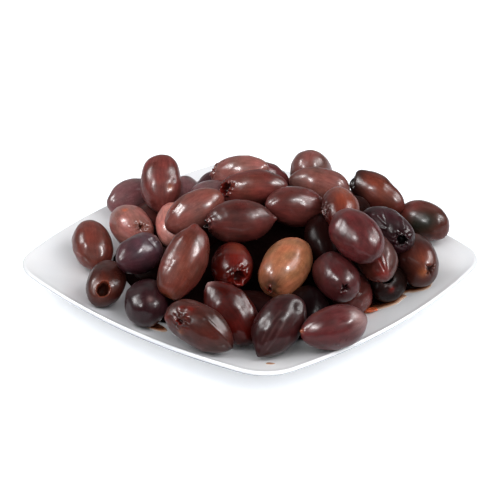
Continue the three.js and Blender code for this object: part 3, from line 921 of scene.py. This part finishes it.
# %% Character and skin
# painted shade: the olives inside the heap are darkened, as they are seen only in its shadow
INNER_SHADE = 0.08  # olives inside the heap are seen only in its shadow
SWELLS = [(12.0, 0.20), (5.0, 0.05)]  # mm across, mm high
DENTS = [(4.0, 0.05), (2.2, 0.014)]
DENT_SEED = 900
BROAD_CLOUD, FINE_CLOUD, WET_CLOUD = 8.0, 2.6, 9.0  # mm across
BROAD_SHARE, FINE_SHARE = 0.17, 0.08  # of the tint that a cloud adds or takes away
SKIN_WETNESS, WET_SHARE = 0.35, 0.3  # where 0 is dry and 1 is dripping
TINT_DRIFT = np.array([1.0, 0.90, 0.93])  # the hue drifts with the broad cloud


def add_character(olive, draw):
    """Seeded differences in shape that every olive has, and the ones that are given by name."""
    tip_power, stem_power, shade = SHAPES.get(olive["label"], (draw.uniform(0.52, 0.64), 0.5, 1.0))
    olive["tip_power"], olive["stem_power"] = tip_power, stem_power
    olive["stem_fullness"] = draw.uniform(2.1, 2.6)
    olive["oval"], olive["oval_turn"] = draw.uniform(0.0, 0.035), draw.uniform(0, math.pi)
    olive["bend"], olive["bend_turn"] = draw.uniform(0.0, 0.7), draw.uniform(0, 2 * math.pi)
    inner_shade = INNER_SHADE if is_inside(olive) else 1.0
    olive["shade"] = shade * draw.uniform(0.92, 1.08) * inner_shade


def paint(tint, share, stain, strength):
    """Blends a stain into the tint where share is high."""
    blend = (strength * share)[..., None]
    return tint * (1 - blend) + np.array(STAINS[stain]) * blend


def plain_skin(olive, local, draw):
    """Swell in mm, tint and wetness of the skin before it gets any mark."""
    swell = 0.0
    for size, height in SWELLS:
        swell = swell + height * waves(local, size, draw)
    dents = np.random.default_rng(DENT_SEED + olives.index(olive))
    for size, height in DENTS:
        swell = swell + height * waves(local, size, dents)
    broad = waves(local, BROAD_CLOUD, draw)[..., None]
    fine = waves(local, FINE_CLOUD, draw)[..., None]
    tint = np.array(PALETTE[olive["colour"]]) * olive["shade"]
    tint = tint * (1 + BROAD_SHARE * broad + FINE_SHARE * fine)
    wet = SKIN_WETNESS + WET_SHARE * waves(local, WET_CLOUD, draw)
    return swell, tint * TINT_DRIFT ** broad, wet


def press(swell, tint, share, height, stain=None, strength=0.0):
    """Adds height times share to the swell and blends a stain in where share is high."""
    if stain:
        tint = paint(tint, share, stain, strength)
    return swell + height * share, tint


def add_marks(olive, local, swell, tint):
    """Presses the olive's own stamps and creases into the skin and stains it there."""
    for mark in MARKS.get(olive["label"], []):
        swell, tint = press(swell, tint, stamp(local, olive, *mark[:4]), *mark[4:])
    for fold in CREASES.get(olive["label"], []):
        swell, tint = press(swell, tint, crease(local, olive, *fold[:3]), *fold[3:])
    return swell, tint


print("swells and dents:", SWELLS + DENTS)

# %% Stem end
STAR_BULGE, STAR_REACH = 0.3, 3.0  # mm high, mm from the middle
DIMPLE, DIMPLE_REACH = 0.3, 1.3  # mm
FRILL_HEIGHT, FRILL_WAVE, FRILL_REACH = 0.32, 1.7, 2.2  # mm
FRILL_STAIN, FRILL_WETNESS = 0.55, 0.6
STEM_SHADE, SHADE_REACH = 0.2, 4.0  # share of the tint taken away, mm


def shape_stem(olive, local, centre, radius, inner_stain, skin_state, draw):
    """What the punch did to the stem end: a star of slits, a dimple, or a ragged wet frill. Each
    one fades like a bell with the distance from the mouth."""
    swell, tint, wet = skin_state
    from_mouth = np.linalg.norm(local - centre, axis=-1)
    if olive["stem"] == "star":
        cut = slits(local, centre, draw)
        swell = swell - SLIT_DEPTH * cut + STAR_BULGE * bell(from_mouth, STAR_REACH) * (1 - cut)
        # painted shade: the slits are darkened
        tint = paint(tint, cut, "dark", 0.9)
    if olive["stem"] == "shut":
        swell = swell - DIMPLE * bell(from_mouth, DIMPLE_REACH)
    if olive["stem"] == "torn":
        frill = bell(from_mouth - radius, FRILL_REACH)
        swell = swell + FRILL_HEIGHT * waves(local, FRILL_WAVE, draw) * frill
        patches = smooth_step(-0.2, 0.9, waves(local, 2.2, draw))
        tint = paint(tint, frill * patches, inner_stain, FRILL_STAIN)
        wet = wet + FRILL_WETNESS * frill
    return swell, tint * (1 - STEM_SHADE * bell(from_mouth, SHADE_REACH)[..., None]), wet


print("a frill fades over", FRILL_REACH, "mm and a dimple over", DIMPLE_REACH, "mm")

# %% Mouth
# raggedness of the edge, lift of the lip in mm, share of the depth, painted shade at the bottom
MOUTH_KINDS = {"torn": (1.0, 0.5, 0.6, 0.82), "hole": (0.25, 0.1, 1.0, 0.88)}
# shrink of the mouth's ring, depth below the skin in mm, share of the lip's lift
INTO_MOUTH = np.array([
    (0.97, -0.16, 1.0), (0.91, -0.20, 1.0), (0.85, -0.05, 0.9), (0.80, 0.30, 0.7), (0.76, 0.9, 0.4),
    (0.72, 1.7, 0.2), (0.67, 2.6, 0.1), (0.60, 3.4, 0.0), (0.48, 4.0, 0.0), (0.28, 4.4, 0.0),
])
MOUTH_STAIN, MOUTH_WETNESS = 0.8, 0.8
FULL_MOUTH = 2.4  # mm, the radius from which a mouth is as deep as listed


def mouth_walls(local, tint, inward, ragged, stem, radius, inner_stain):
    """Rings that go on from the mouth's edge: each is the edge shrunk towards its middle and sunk
    into the flesh, with a rolled lip first. Also gives the wall's tint, darkened towards the bottom
    as painted shade, and the deepest point."""
    _, lip_lift, depth_share, painted_shade = MOUTH_KINDS[stem]
    edge = local[-1]
    middle = edge.mean(axis=0)
    shrink, depth, lip = INTO_MOUTH.T
    lift = lip_lift * (ragged + 0.4)
    deep = min(1.0, radius / FULL_MOUTH) * depth_share
    sunk = deep * depth[:, None] - lip[:, None] * lift
    walls = middle + (edge - middle)[None] * shrink[:, None, None] + sunk[..., None] * inward
    deeper = np.linspace(0.0, 1.0, len(shrink))[:, None, None]
    stained = MOUTH_STAIN * smooth_step(0, 0.3, deeper)
    wall_tint = tint[-1:] * (1 - stained) + stained * np.array(STAINS[inner_stain])
    # painted shade: the walls darken towards the bottom of the mouth
    wall_tint = wall_tint * (1 - painted_shade * smooth_step(0.1, 0.8, deeper))
    return walls, wall_tint, middle + (sunk[-1].mean() + 0.1) * inward


print("a mouth is lined with", len(INTO_MOUTH), "rings, the last", INTO_MOUTH[-1, 1], "mm deep")

# %% The whole olive
RINGS, COLUMNS = 66, 90
POLE_CROWDING = 0.07  # rings lie closer together at both poles
GRAIN_TURNS, GRAIN_STRETCH = 7, 0.2  # the grain changes fast around the olive and slowly along it
MOUTH_WAVE, MOUTH_UNEVENNESS = 1.0, 0.2  # size as a share of the mouth's radius, share of it


def with_poles(values):
    """All values row by row, after the mean of the first row and before the mean of the last."""
    flat = values.reshape(-1, values.shape[-1])
    return np.concatenate([values[:1].mean(axis=1), flat, values[-1:].mean(axis=1)])


def make_olive(olive, rings, columns, draw):
    """One olive's points in mm with their colour, lengthwise grain and wetness."""
    open_mouth = olive["stem"] in MOUTH_KINDS
    along, mouth_turn, radius, inner_stain = MOUTHS.get(olive["label"], NO_MOUTH)
    mouth = on_ball(along, mouth_turn)
    ragged = waves(circle(columns)[1], MOUTH_WAVE, draw, 12)
    ragged = ragged * (MOUTH_KINDS[olive["stem"]][0] if open_mouth else 0.0)
    opening = math.asin(radius / (olive["thickness"] / 2)) * (1 + MOUTH_UNEVENNESS * ragged)
    opening = opening * open_mouth
    rise = np.linspace(0, 1, rings + 1)[1:] if open_mouth else np.linspace(0, 1, rings + 2)[1:-1]
    rise = rise - POLE_CROWDING * np.sin(2 * math.pi * rise) / math.pi
    ball = ball_points(mouth, rise[:, None] * (math.pi - opening)[None, :] * np.ones((1, columns)))
    local = egg(ball, olive)
    normal, centre = outward(local, olive), egg(mouth[None], olive)[0]

    swell, tint, wet = plain_skin(olive, local, draw)
    swell, tint = add_marks(olive, local, swell, tint)
    swell, tint, wet = shape_stem(olive, local, centre, radius, inner_stain, (swell, tint, wet), draw)
    local = local + swell[..., None] * normal

    turn = np.arctan2(ball[..., 1], ball[..., 0])
    grain = np.stack([GRAIN_TURNS * np.cos(turn), GRAIN_TURNS * np.sin(turn),
                      GRAIN_STRETCH * local[..., 2]], axis=-1)
    last = local[-1].mean(axis=0)
    if open_mouth:
        inward = -outward(centre[None], olive)[0]
        walls, wall_tint, last = mouth_walls(local, tint, inward, ragged, olive["stem"], radius,
                                             inner_stain)
        local, tint = np.concatenate([local, walls]), np.concatenate([tint, wall_tint])
        grain = np.concatenate([grain, np.repeat(grain[-1:], len(walls), axis=0)])
        wet = np.concatenate([wet, np.full((len(walls), columns), MOUTH_WETNESS)])

    points = with_poles(local)
    points[-1] = last
    quads, triangles = round_faces(local.shape[0], columns)
    axis = olive["axis"]
    facing = toward_camera - (toward_camera @ axis) * axis
    facing /= np.linalg.norm(facing)
    points = points @ np.stack([facing, np.cross(axis, facing), axis]) + olive["middle"]
    return (points, quads, triangles, np.clip(with_poles(tint), 0, 1), with_poles(grain),
            np.clip(with_poles(wet[..., None]), 0, 1))


# %% [markdown]
# ## Skin of the olives
# Cured skin is thin and dark with a soft sheen: faint lengthwise streaks, tiny pale specks and a
# fine orange-peel texture. A painted picture could hold all this, but it would stretch over the
# ends and blur close up. So the colours come from the points' own tint, and noise adds the rest.
# The streaks follow the grain that was stored with every point, and one recipe serves all kinds.
# Low specular with a thin coat keeps the skin deep in colour and its highlights bright.

# %% Skin material
SKIN_GLOSS, SKIN_COAT_ROUGHNESS = 0.4, 0.14
STREAK_DARK, STREAK_LIGHT = rgba((0.80, 0.78, 0.78)), rgba((1.22, 1.20, 1.18))  # times the tint
SPECK_LIFT = rgba((2.6, 3.0, 3.0))  # times the tint
STREAKS, FOLDS = 900.0, 600.0  # bumps of noise per metre of grain
SPECKS, PEEL, BLOTCHES = 2300.0, 1100.0, 420.0  # bumps of noise per metre
FOLD_HEIGHT, PEEL_HEIGHT = 0.0002, 0.00012  # metres
SKIN_SMOOTHEST, SKIN_DULLEST, WET_SMOOTHING = 0.36, 0.48, -0.18
MIRROR_SHARE, COAT_SHARE = 0.25, 0.9  # of the gloss level


def skin_material(name, gloss_level=SKIN_GLOSS, coat_roughness=SKIN_COAT_ROUGHNESS):
    """Tint with streaks along the grain and pale specks. Roughness is a blotchy level plus a
    negative share of the wetness. Two bumps lie over each other: folds and peel."""
    material, shader = new_material(name)
    place = object_place(material)
    tint, wet = attribute(material, "tint", "Color"), attribute(material, "wet", "Fac")
    grain = attribute(material, "grain", "Vector")
    darker = mix_colours(material, 1.0, tint, STREAK_DARK, "MULTIPLY")
    lighter = mix_colours(material, 1.0, tint, STREAK_LIGHT, "MULTIPLY")
    paler = mix_colours(material, 1.0, tint, SPECK_LIFT, "MULTIPLY")
    streaks = remap(material, noise(material, grain, STREAKS, 5.0, 0.6), 0.32, 0.68, 0.0, 1.0)
    specks = remap(material, noise(material, place, SPECKS, 2.0), 0.60, 0.74, 0.0, 0.30)
    colour = mix_colours(material, specks, mix_colours(material, streaks, darker, lighter), paler)
    plug(material, shader.inputs["Base Color"], colour)
    dull = remap(material, noise(material, place, BLOTCHES, 3.0), 0.3, 0.7,
                 SKIN_SMOOTHEST, SKIN_DULLEST)
    gloss = add_node(material, "ShaderNodeMath", {"operation": "MULTIPLY_ADD"})
    for socket, value in zip(gloss.inputs, (wet, WET_SMOOTHING, dull)):
        plug(material, socket, value)
    plug(material, shader.inputs["Roughness"], gloss.outputs[0])
    shader.inputs["IOR"].default_value = 1.45
    shader.inputs["Specular IOR Level"].default_value = MIRROR_SHARE * gloss_level
    shader.inputs["Coat Weight"].default_value = COAT_SHARE * gloss_level
    shader.inputs["Coat Roughness"].default_value = coat_roughness
    folds = add_bump(material, shader, noise(material, grain, FOLDS, 3.0), 0.3, FOLD_HEIGHT)
    add_bump(material, shader, noise(material, place, PEEL, 4.0, 0.6), 0.4, PEEL_HEIGHT,
             Normal=folds)
    return material


print("peel stands", PEEL_HEIGHT / MM, "mm high at most")

# %% [markdown]
# ## One piece for each kind
# Every olive could stay an object of its own, but one object for each kind is easier to recolour
# and to swap. All olives of a kind share a mesh and a material, and each still has its own seed.

# %% The kinds
SKIN_SEED = 300
GLOSS = {"juicy": (0.12, 0.06)}  # name: gloss level, coat roughness
INNER_GLOSS = 0.08
STORED = {"FLOAT": "value", "FLOAT_VECTOR": "vector", "FLOAT_COLOR": "color"}


def store(piece, name, kind, values):
    """Keeps one value for every point of a piece, for its material to read."""
    if kind == "FLOAT_COLOR":
        values = np.concatenate([values, np.ones((len(values), 1))], axis=1)
    kept = piece.data.attributes.new(name, kind, "POINT")
    kept.data.foreach_set(STORED[kind], values.astype(np.float32).ravel())


def make_kind(kind, members, gloss_level=SKIN_GLOSS, coat_roughness=SKIN_COAT_ROUGHNESS):
    """Joins all olives of one colour into a piece."""
    made = []
    for olive in members:
        draw = np.random.default_rng(SKIN_SEED + olives.index(olive))
        add_character(olive, draw)
        coarser = 2 if is_inside(olive) else 1
        made.append(make_olive(olive, RINGS // coarser, COLUMNS // coarser, draw))
    points, quads, triangles = merge_grids([part[:3] for part in made])
    piece = new_piece(kind + "_olives", points, quads, triangles,
                      skin_material(kind + "_skin", gloss_level, coat_roughness))
    store(piece, "tint", "FLOAT_COLOR", np.concatenate([part[3] for part in made]))
    store(piece, "grain", "FLOAT_VECTOR", np.concatenate([part[4] for part in made]) * MM)
    store(piece, "wet", "FLOAT", np.concatenate([part[5] for part in made]))
    return piece


outer = [olive for olive in olives if not is_inside(olive)]
kinds = [make_kind(kind, [o for o in outer if o["colour"] == kind], *GLOSS.get(kind, ()))
         for kind in PALETTE]
kinds.append(make_kind("inner", [olive for olive in olives if is_inside(olive)], INNER_GLOSS))
for piece in kinds:
    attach(piece, "root")
    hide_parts("olive_heap")

# %% [markdown]
# ## The heart of the heap
# Under the olives that show lie more olives, so dark and close that only their rounded wet backs
# can be guessed at. They could all be made, but nobody would see them, so a low lumpy mound stands
# in for them. Its near-black colour is painted shade for the deep gaps of the heap. It also carries
# the whole heap.

# %% Mound
MOUND_REACH, MOUND_RISE, MOUND_PAD = 50.0, 17.0, 4.0  # mm
MOUND_COLUMNS, MOUND_RINGS, MOUND_SEED = 96, 22, 5
MOUND_LUMPS = [(13.0, 1.6), (6.0, 0.7)]  # mm across, mm high
MOUND_THINNEST = 0.2  # mm


def make_mound(material):
    """A dome over the dish. Its underside follows the dish a little above it. Its top adds a pad
    with a steep side, the root of 1 - q ** 8, and a bell, (1 - q ** 2) ** 1.5, with seeded lumps,
    where q is the share of its reach."""
    draw = np.random.default_rng(MOUND_SEED)
    turn, _ = circle(MOUND_COLUMNS)
    reach = MOUND_REACH * (1 + 0.06 * np.sin(5 * turn + 1.0) + 0.04 * np.sin(9 * turn))
    out = np.linspace(0.03, 1.0, MOUND_RINGS)
    q = np.concatenate([out, out[::-1][1:]])[:, None]
    x, y = q * reach * np.cos(turn), q * reach * np.sin(turn)
    under = dish_height(x, y) + GAP
    place = np.stack([x, y, 0 * x], axis=-1)
    lumps = sum(height * waves(place, size, draw) for size, height in MOUND_LUMPS)
    bell = MOUND_PAD * np.sqrt(1 - q ** 8) + MOUND_RISE * (1 - q ** 2) ** 1.5
    top = under + np.maximum(bell + lumps * np.sqrt(1 - q ** 2), MOUND_THINNEST)
    z = np.concatenate([under[:MOUND_RINGS], top[MOUND_RINGS:]])
    rings = np.stack([x, y, z], axis=-1)
    points = np.concatenate([[[0, 0, FLOOR_HEIGHT + GAP]], rings.reshape(-1, 3),
                             [[0, 0, z[-1].mean()]]])
    quads, triangles = round_faces(len(q), MOUND_COLUMNS)
    return new_piece("mound", points, quads, triangles, material)


print("mound of", MOUND_RINGS, "rings from its middle to its edge, with", MOUND_COLUMNS, "points each")

# %% Mound material
# painted shade: both colours stand for the deep shadow between the olives
MOUND_SHADE_BLACK, MOUND_SHADE_BROWN = linear(5, 2, 2), linear(20, 9, 8)


def mound_material():
    """Painted shade for the deep gaps of the heap: nearly black, a little brown in places, dull
    and grained, so that it stays in the shade.
    """
    material, shader = new_material("painted_shade_mound")
    place = object_place(material)
    colour = mix_colours(material, noise(material, place, 300.0, 4.0),
                         rgba(MOUND_SHADE_BLACK), rgba(MOUND_SHADE_BROWN))
    plug(material, shader.inputs["Base Color"], colour)
    plug(material, shader.inputs["Roughness"],
         remap(material, noise(material, place, 700.0, 2.0), 0.3, 0.7, 0.45, 0.6))
    shader.inputs["Specular IOR Level"].default_value = 0.0
    add_bump(material, shader, noise(material, place, 500.0, 4.0), 0.5, 0.0005)
    return material


mound = make_mound(mound_material())
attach(mound, "root")
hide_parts("olive_heap")

# %% [markdown]
# ## Torn bits
# The punch tears off small bits of flesh that swim in the juice. A blob pushed about by hand would
# do, but a ball swollen by waves and squashed to a listed size can be set down on the dish exactly.

# %% Crumbs
# x, y, half length, half width, height in mm, heading, stain
CRUMBS = [
    (36.4, -32.4, 4.2, 2.4, 2.6, 20, "crimson"),
    (40.8, -33.2, 2.8, 1.9, 1.6, -30, "bright"),
]
CRUMB_ROWS, CRUMB_COLUMNS, CRUMB_SEED = 18, 28, 8
CRUMB_LUMP, CRUMB_LUMPINESS = 1.1, 0.16  # shares of its radius
CRUMB_CLOUD, CRUMB_CLOUD_SHARE = 1.5, 0.3  # mm across, share of the tint


def laid_out(x, y, heading, along, across):
    """Level places: the point x, y plus steps along and across a heading in degrees."""
    c, s = math.cos(math.radians(heading)), math.sin(math.radians(heading))
    return x + c * along - s * across, y + s * along + c * across


def make_crumb(x, y, half_length, half_width, height, heading, stain, draw):
    """A lumpy ball, squashed to its sizes, that stands on the dish with its lowest point."""
    polar = np.linspace(0, math.pi, CRUMB_ROWS + 2)[1:-1, None]
    turn = circle(CRUMB_COLUMNS)[0][None, :]
    ball = np.stack([np.sin(polar) * np.cos(turn), np.sin(polar) * np.sin(turn),
                     -np.cos(polar) * np.ones_like(turn)], axis=-1)
    ball = np.concatenate([[[0, 0, -1]], ball.reshape(-1, 3), [[0, 0, 1]]])
    ball = ball * (1 + CRUMB_LUMPINESS * waves(ball, CRUMB_LUMP, draw, 10)[:, None])
    px, py = laid_out(x, y, heading, ball[:, 0] * half_length, ball[:, 1] * half_width)
    lift = (ball[:, 2] - ball[:, 2].min()) * height / 2
    points = np.stack([px, py, dish_height(px, py) + GAP / 2 + lift], axis=-1)
    quads, triangles = round_faces(CRUMB_ROWS, CRUMB_COLUMNS)
    cloud = waves(points, CRUMB_CLOUD, draw)[:, None]
    tint = np.clip(np.array(STAINS[stain]) * (1 + CRUMB_CLOUD_SHARE * cloud), 0, 1)
    return points, quads, triangles, tint


draw = np.random.default_rng(CRUMB_SEED)
parts = [make_crumb(*row, draw) for row in CRUMBS]
points, quads, triangles = merge_grids([part[:3] for part in parts])
crumbs = new_piece("crumbs", points, quads, triangles, skin_material("wet_flesh", 1.0))
store(crumbs, "tint", "FLOAT_COLOR", np.concatenate([part[3] for part in parts]))
store(crumbs, "grain", "FLOAT_VECTOR", points * MM)
store(crumbs, "wet", "FLOAT", np.ones(len(points)))
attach(crumbs, "root")

# %% [markdown]
# ## Juice
# A little brine with oil runs out of the heap and stands on the glaze: nearly black where it is
# deep, brown towards its side and pale at its thin edge. A liquid could be simulated, but a few
# still puddles need only a shape. Each one is a closed lens whose outline is a wavy oval. It lies
# on the dish, so every height is taken from the dish's own curve. The colour follows the depth,
# which is stored with each point.

# %% Puddles
# x, y, half length, half width in mm, heading, thickness in mm
PUDDLES = [
    (45.4, -24.6, 10.0, 6.4, 12, 0.8),
    (39.8, -29.6, 4.4, 5.0, 10, 0.8),
    (58.6, -16.4, 7.0, 5.6, 22, 0.6),
    (-39, -42.2, 7.4, 3.6, -38, 0.6),
    (1.6, -74.0, 1.7, 1.0, 0, 0.25),
]
PUDDLE_FLOAT = 0.03  # mm between the glaze and the juice
PUDDLE_COLUMNS, PUDDLE_SEED = 96, 21
FULL_DEPTH = 0.6  # mm of juice that hide the glaze


def make_puddle(x, y, half_length, half_width, heading, thickness, draw):
    """A lens over a wavy oval. Its underside follows the dish, and its top stands the root of
    1 - q ** 4 times the thickness above that, where q is the share of the way to the outline."""
    turn, walk = circle(PUDDLE_COLUMNS)
    wavy = 1 + 0.12 * waves(walk, 1.6, draw, 8) + 0.05 * waves(walk, 0.7, draw, 8)
    out = np.concatenate([np.linspace(0.08, 0.9, 10), [0.95, 0.98, 1.0]])
    q = np.concatenate([out, out[::-1][1:]])[:, None]
    px, py = laid_out(x, y, heading, q * half_length * wavy * np.cos(turn),
                      q * half_width * wavy * np.sin(turn))
    z = dish_height(px, py) + PUDDLE_FLOAT
    lens = thickness * (1 - q ** 4) ** 0.5 * np.ones_like(px)
    z[len(out):] += lens[len(out):]
    rings = np.stack([px, py, z], axis=-1)
    low = dish_height(np.array(x), np.array(y)) + PUDDLE_FLOAT
    points = np.concatenate([[[x, y, low]], rings.reshape(-1, 3), [[x, y, low + thickness]]])
    depth = np.concatenate([[1.0], np.repeat(1 - q ** 4, PUDDLE_COLUMNS, axis=1).ravel(), [1.0]])
    quads, triangles = round_faces(len(q), PUDDLE_COLUMNS)
    return points, quads, triangles, depth * min(1.0, thickness / FULL_DEPTH)


print(len(PUDDLES), "puddles, the widest", 2 * max(row[2] for row in PUDDLES), "mm across")

# %% Juice material
THIN_JUICE, BROWN_JUICE = linear(184, 156, 136), linear(126, 72, 44)
DEEP_JUICE = linear(40, 16, 11)


def juice_material():
    """The stored depth plus a faint cloud runs from the thin colour over brown to the deep one."""
    material, shader = new_material("brown_juice")
    cloud = noise(material, object_place(material), 260.0, 3.0)
    deep = add_node(material, "ShaderNodeMath", {"operation": "ADD"})
    plug(material, deep.inputs[0], attribute(material, "depth", "Fac"))
    plug(material, deep.inputs[1], remap(material, cloud, 0.3, 0.7, -0.04, 0.04))
    edge = mix_colours(material, remap(material, deep.outputs[0], 0.0, 0.55, 0.0, 1.0),
                       rgba(THIN_JUICE), rgba(BROWN_JUICE))
    colour = mix_colours(material, remap(material, deep.outputs[0], 0.5, 1.0, 0.0, 1.0),
                         edge, rgba(DEEP_JUICE))
    plug(material, shader.inputs["Base Color"], colour)
    shader.inputs["Roughness"].default_value = 0.06
    shader.inputs["IOR"].default_value = 1.38
    return material


draw = np.random.default_rng(PUDDLE_SEED)
parts = [make_puddle(*row, draw) for row in PUDDLES]
points, quads, triangles = merge_grids([part[:3] for part in parts])
puddles = new_piece("puddles", points, quads, triangles, juice_material())
store(puddles, "depth", "FLOAT", np.concatenate([part[3] for part in parts]))
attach(puddles, "root")

# %% [markdown]
# ## Floor
# The food stands on a white sheet that is lit until it turns pure white. More lamps could do that,
# but the brighter sheet would also light the food from below. So the sheet has a glow of its own,
# which is shown to the camera alone.

# %% Floor
FLOOR_HALF = 4.0  # metres
FLOOR_COLOUR, FLOOR_GLOW = (0.65, 0.68, 0.72), 0.5


def add_floor():
    """A flat square. Its glow is the camera's share of the light path times a strength."""
    mesh = bpy.data.meshes.new("floor")
    half = FLOOR_HALF
    mesh.from_pydata([(-half, -half, 0), (half, -half, 0), (half, half, 0), (-half, half, 0)], [],
                     [(0, 1, 2, 3)])
    floor = bpy.data.objects.new("floor", mesh)
    bpy.context.scene.collection.objects.link(floor)
    material, shader = new_material("white_sheet")
    shader.inputs["Base Color"].default_value = rgba(FLOOR_COLOUR)
    shader.inputs["Roughness"].default_value = 0.9
    path = add_node(material, "ShaderNodeLightPath")
    glow = add_node(material, "ShaderNodeMath", {"operation": "MULTIPLY"})
    plug(material, glow.inputs[0], path.outputs["Is Camera Ray"])
    glow.inputs[1].default_value = FLOOR_GLOW
    shader.inputs["Emission Color"].default_value = (1.0, 1.0, 1.0, 1.0)
    plug(material, shader.inputs["Emission Strength"], glow.outputs[0])
    mesh.materials.append(material)


add_floor()
print("floor", 2 * FLOOR_HALF, "metres wide")

# %% [markdown]
# ## Light
# Large soft lights on the left and on the right reach from the front round to the back, so that
# each olive gets a highlight on either shoulder while its underside stays dark. Bigger lamps alone
# would spread a grey veil over the dark skins. So the broad front lamps light the food without
# being mirrored in it, and small hot cores inside the side lamps add the bright glints.

# %% Lamps
LAMP_DISTANCE = 800.0  # mm
SKY_LIGHT = 0.05
# name, turn and lift in degrees, size in mm, power in watts, role
LAMPS = [
    ("left_back", -105, 38, 420, 2.1, "both"),
    ("left_back_core", -105, 38, 180, 10.5, "shine"),
    ("right_back", 102, 38, 420, 1.8, "both"),
    ("right_back_core", 102, 38, 180, 10.0, "shine"),
    ("left", -62, 45, 420, 0.9, "both"),
    ("left_core", -62, 45, 140, 9.5, "shine"),
    ("right", 66, 45, 420, 1.5, "both"),
    ("right_core", 66, 45, 140, 8.5, "shine"),
    ("back", 180, 25, 900, 0.7, "both"),
    ("front", 0, 50, 900, 3.4, "fill"),
    ("left_front", -35, 40, 600, 2.0, "fill"),
    ("right_front", 35, 40, 600, 3.0, "fill"),
]


def add_softbox(name, turn, lift, size, power, role):
    """A square lamp that faces the heap from a turn to the right of the viewer's side and a lift
    above the table. A "fill" lamp lights the food but leaves no highlight, and a "shine" lamp only
    adds the hot middle of a highlight."""
    data = bpy.data.lights.new(name, "AREA")
    data.shape, data.size, data.energy = "SQUARE", size * MM, power
    lamp = bpy.data.objects.new(name, data)
    bpy.context.scene.collection.objects.link(lamp)
    back = unit(turn - 90, lift)
    side = np.cross([0.0, 0.0, 1.0], back)
    side /= np.linalg.norm(side)
    lamp.matrix_world = placed(side, np.cross(back, side), back, LAMP_DISTANCE * back)
    lamp.visible_glossy = role != "fill"
    lamp.visible_diffuse = role != "shine"


def add_sky(strength):
    """A faint even light from all round."""
    world = bpy.data.worlds.new("studio")
    world.use_nodes = True
    background = world.node_tree.nodes["Background"]
    background.inputs["Color"].default_value = (1.0, 1.0, 1.0, 1.0)
    background.inputs["Strength"].default_value = strength
    bpy.context.scene.world = world


for lamp_row in LAMPS:
    add_softbox(*lamp_row)
add_sky(SKY_LIGHT)
bpy.context.scene.view_settings.view_transform = "Standard"
print(len(LAMPS), "lamps,", round(sum(row[4] for row in LAMPS), 1), "watts in all")
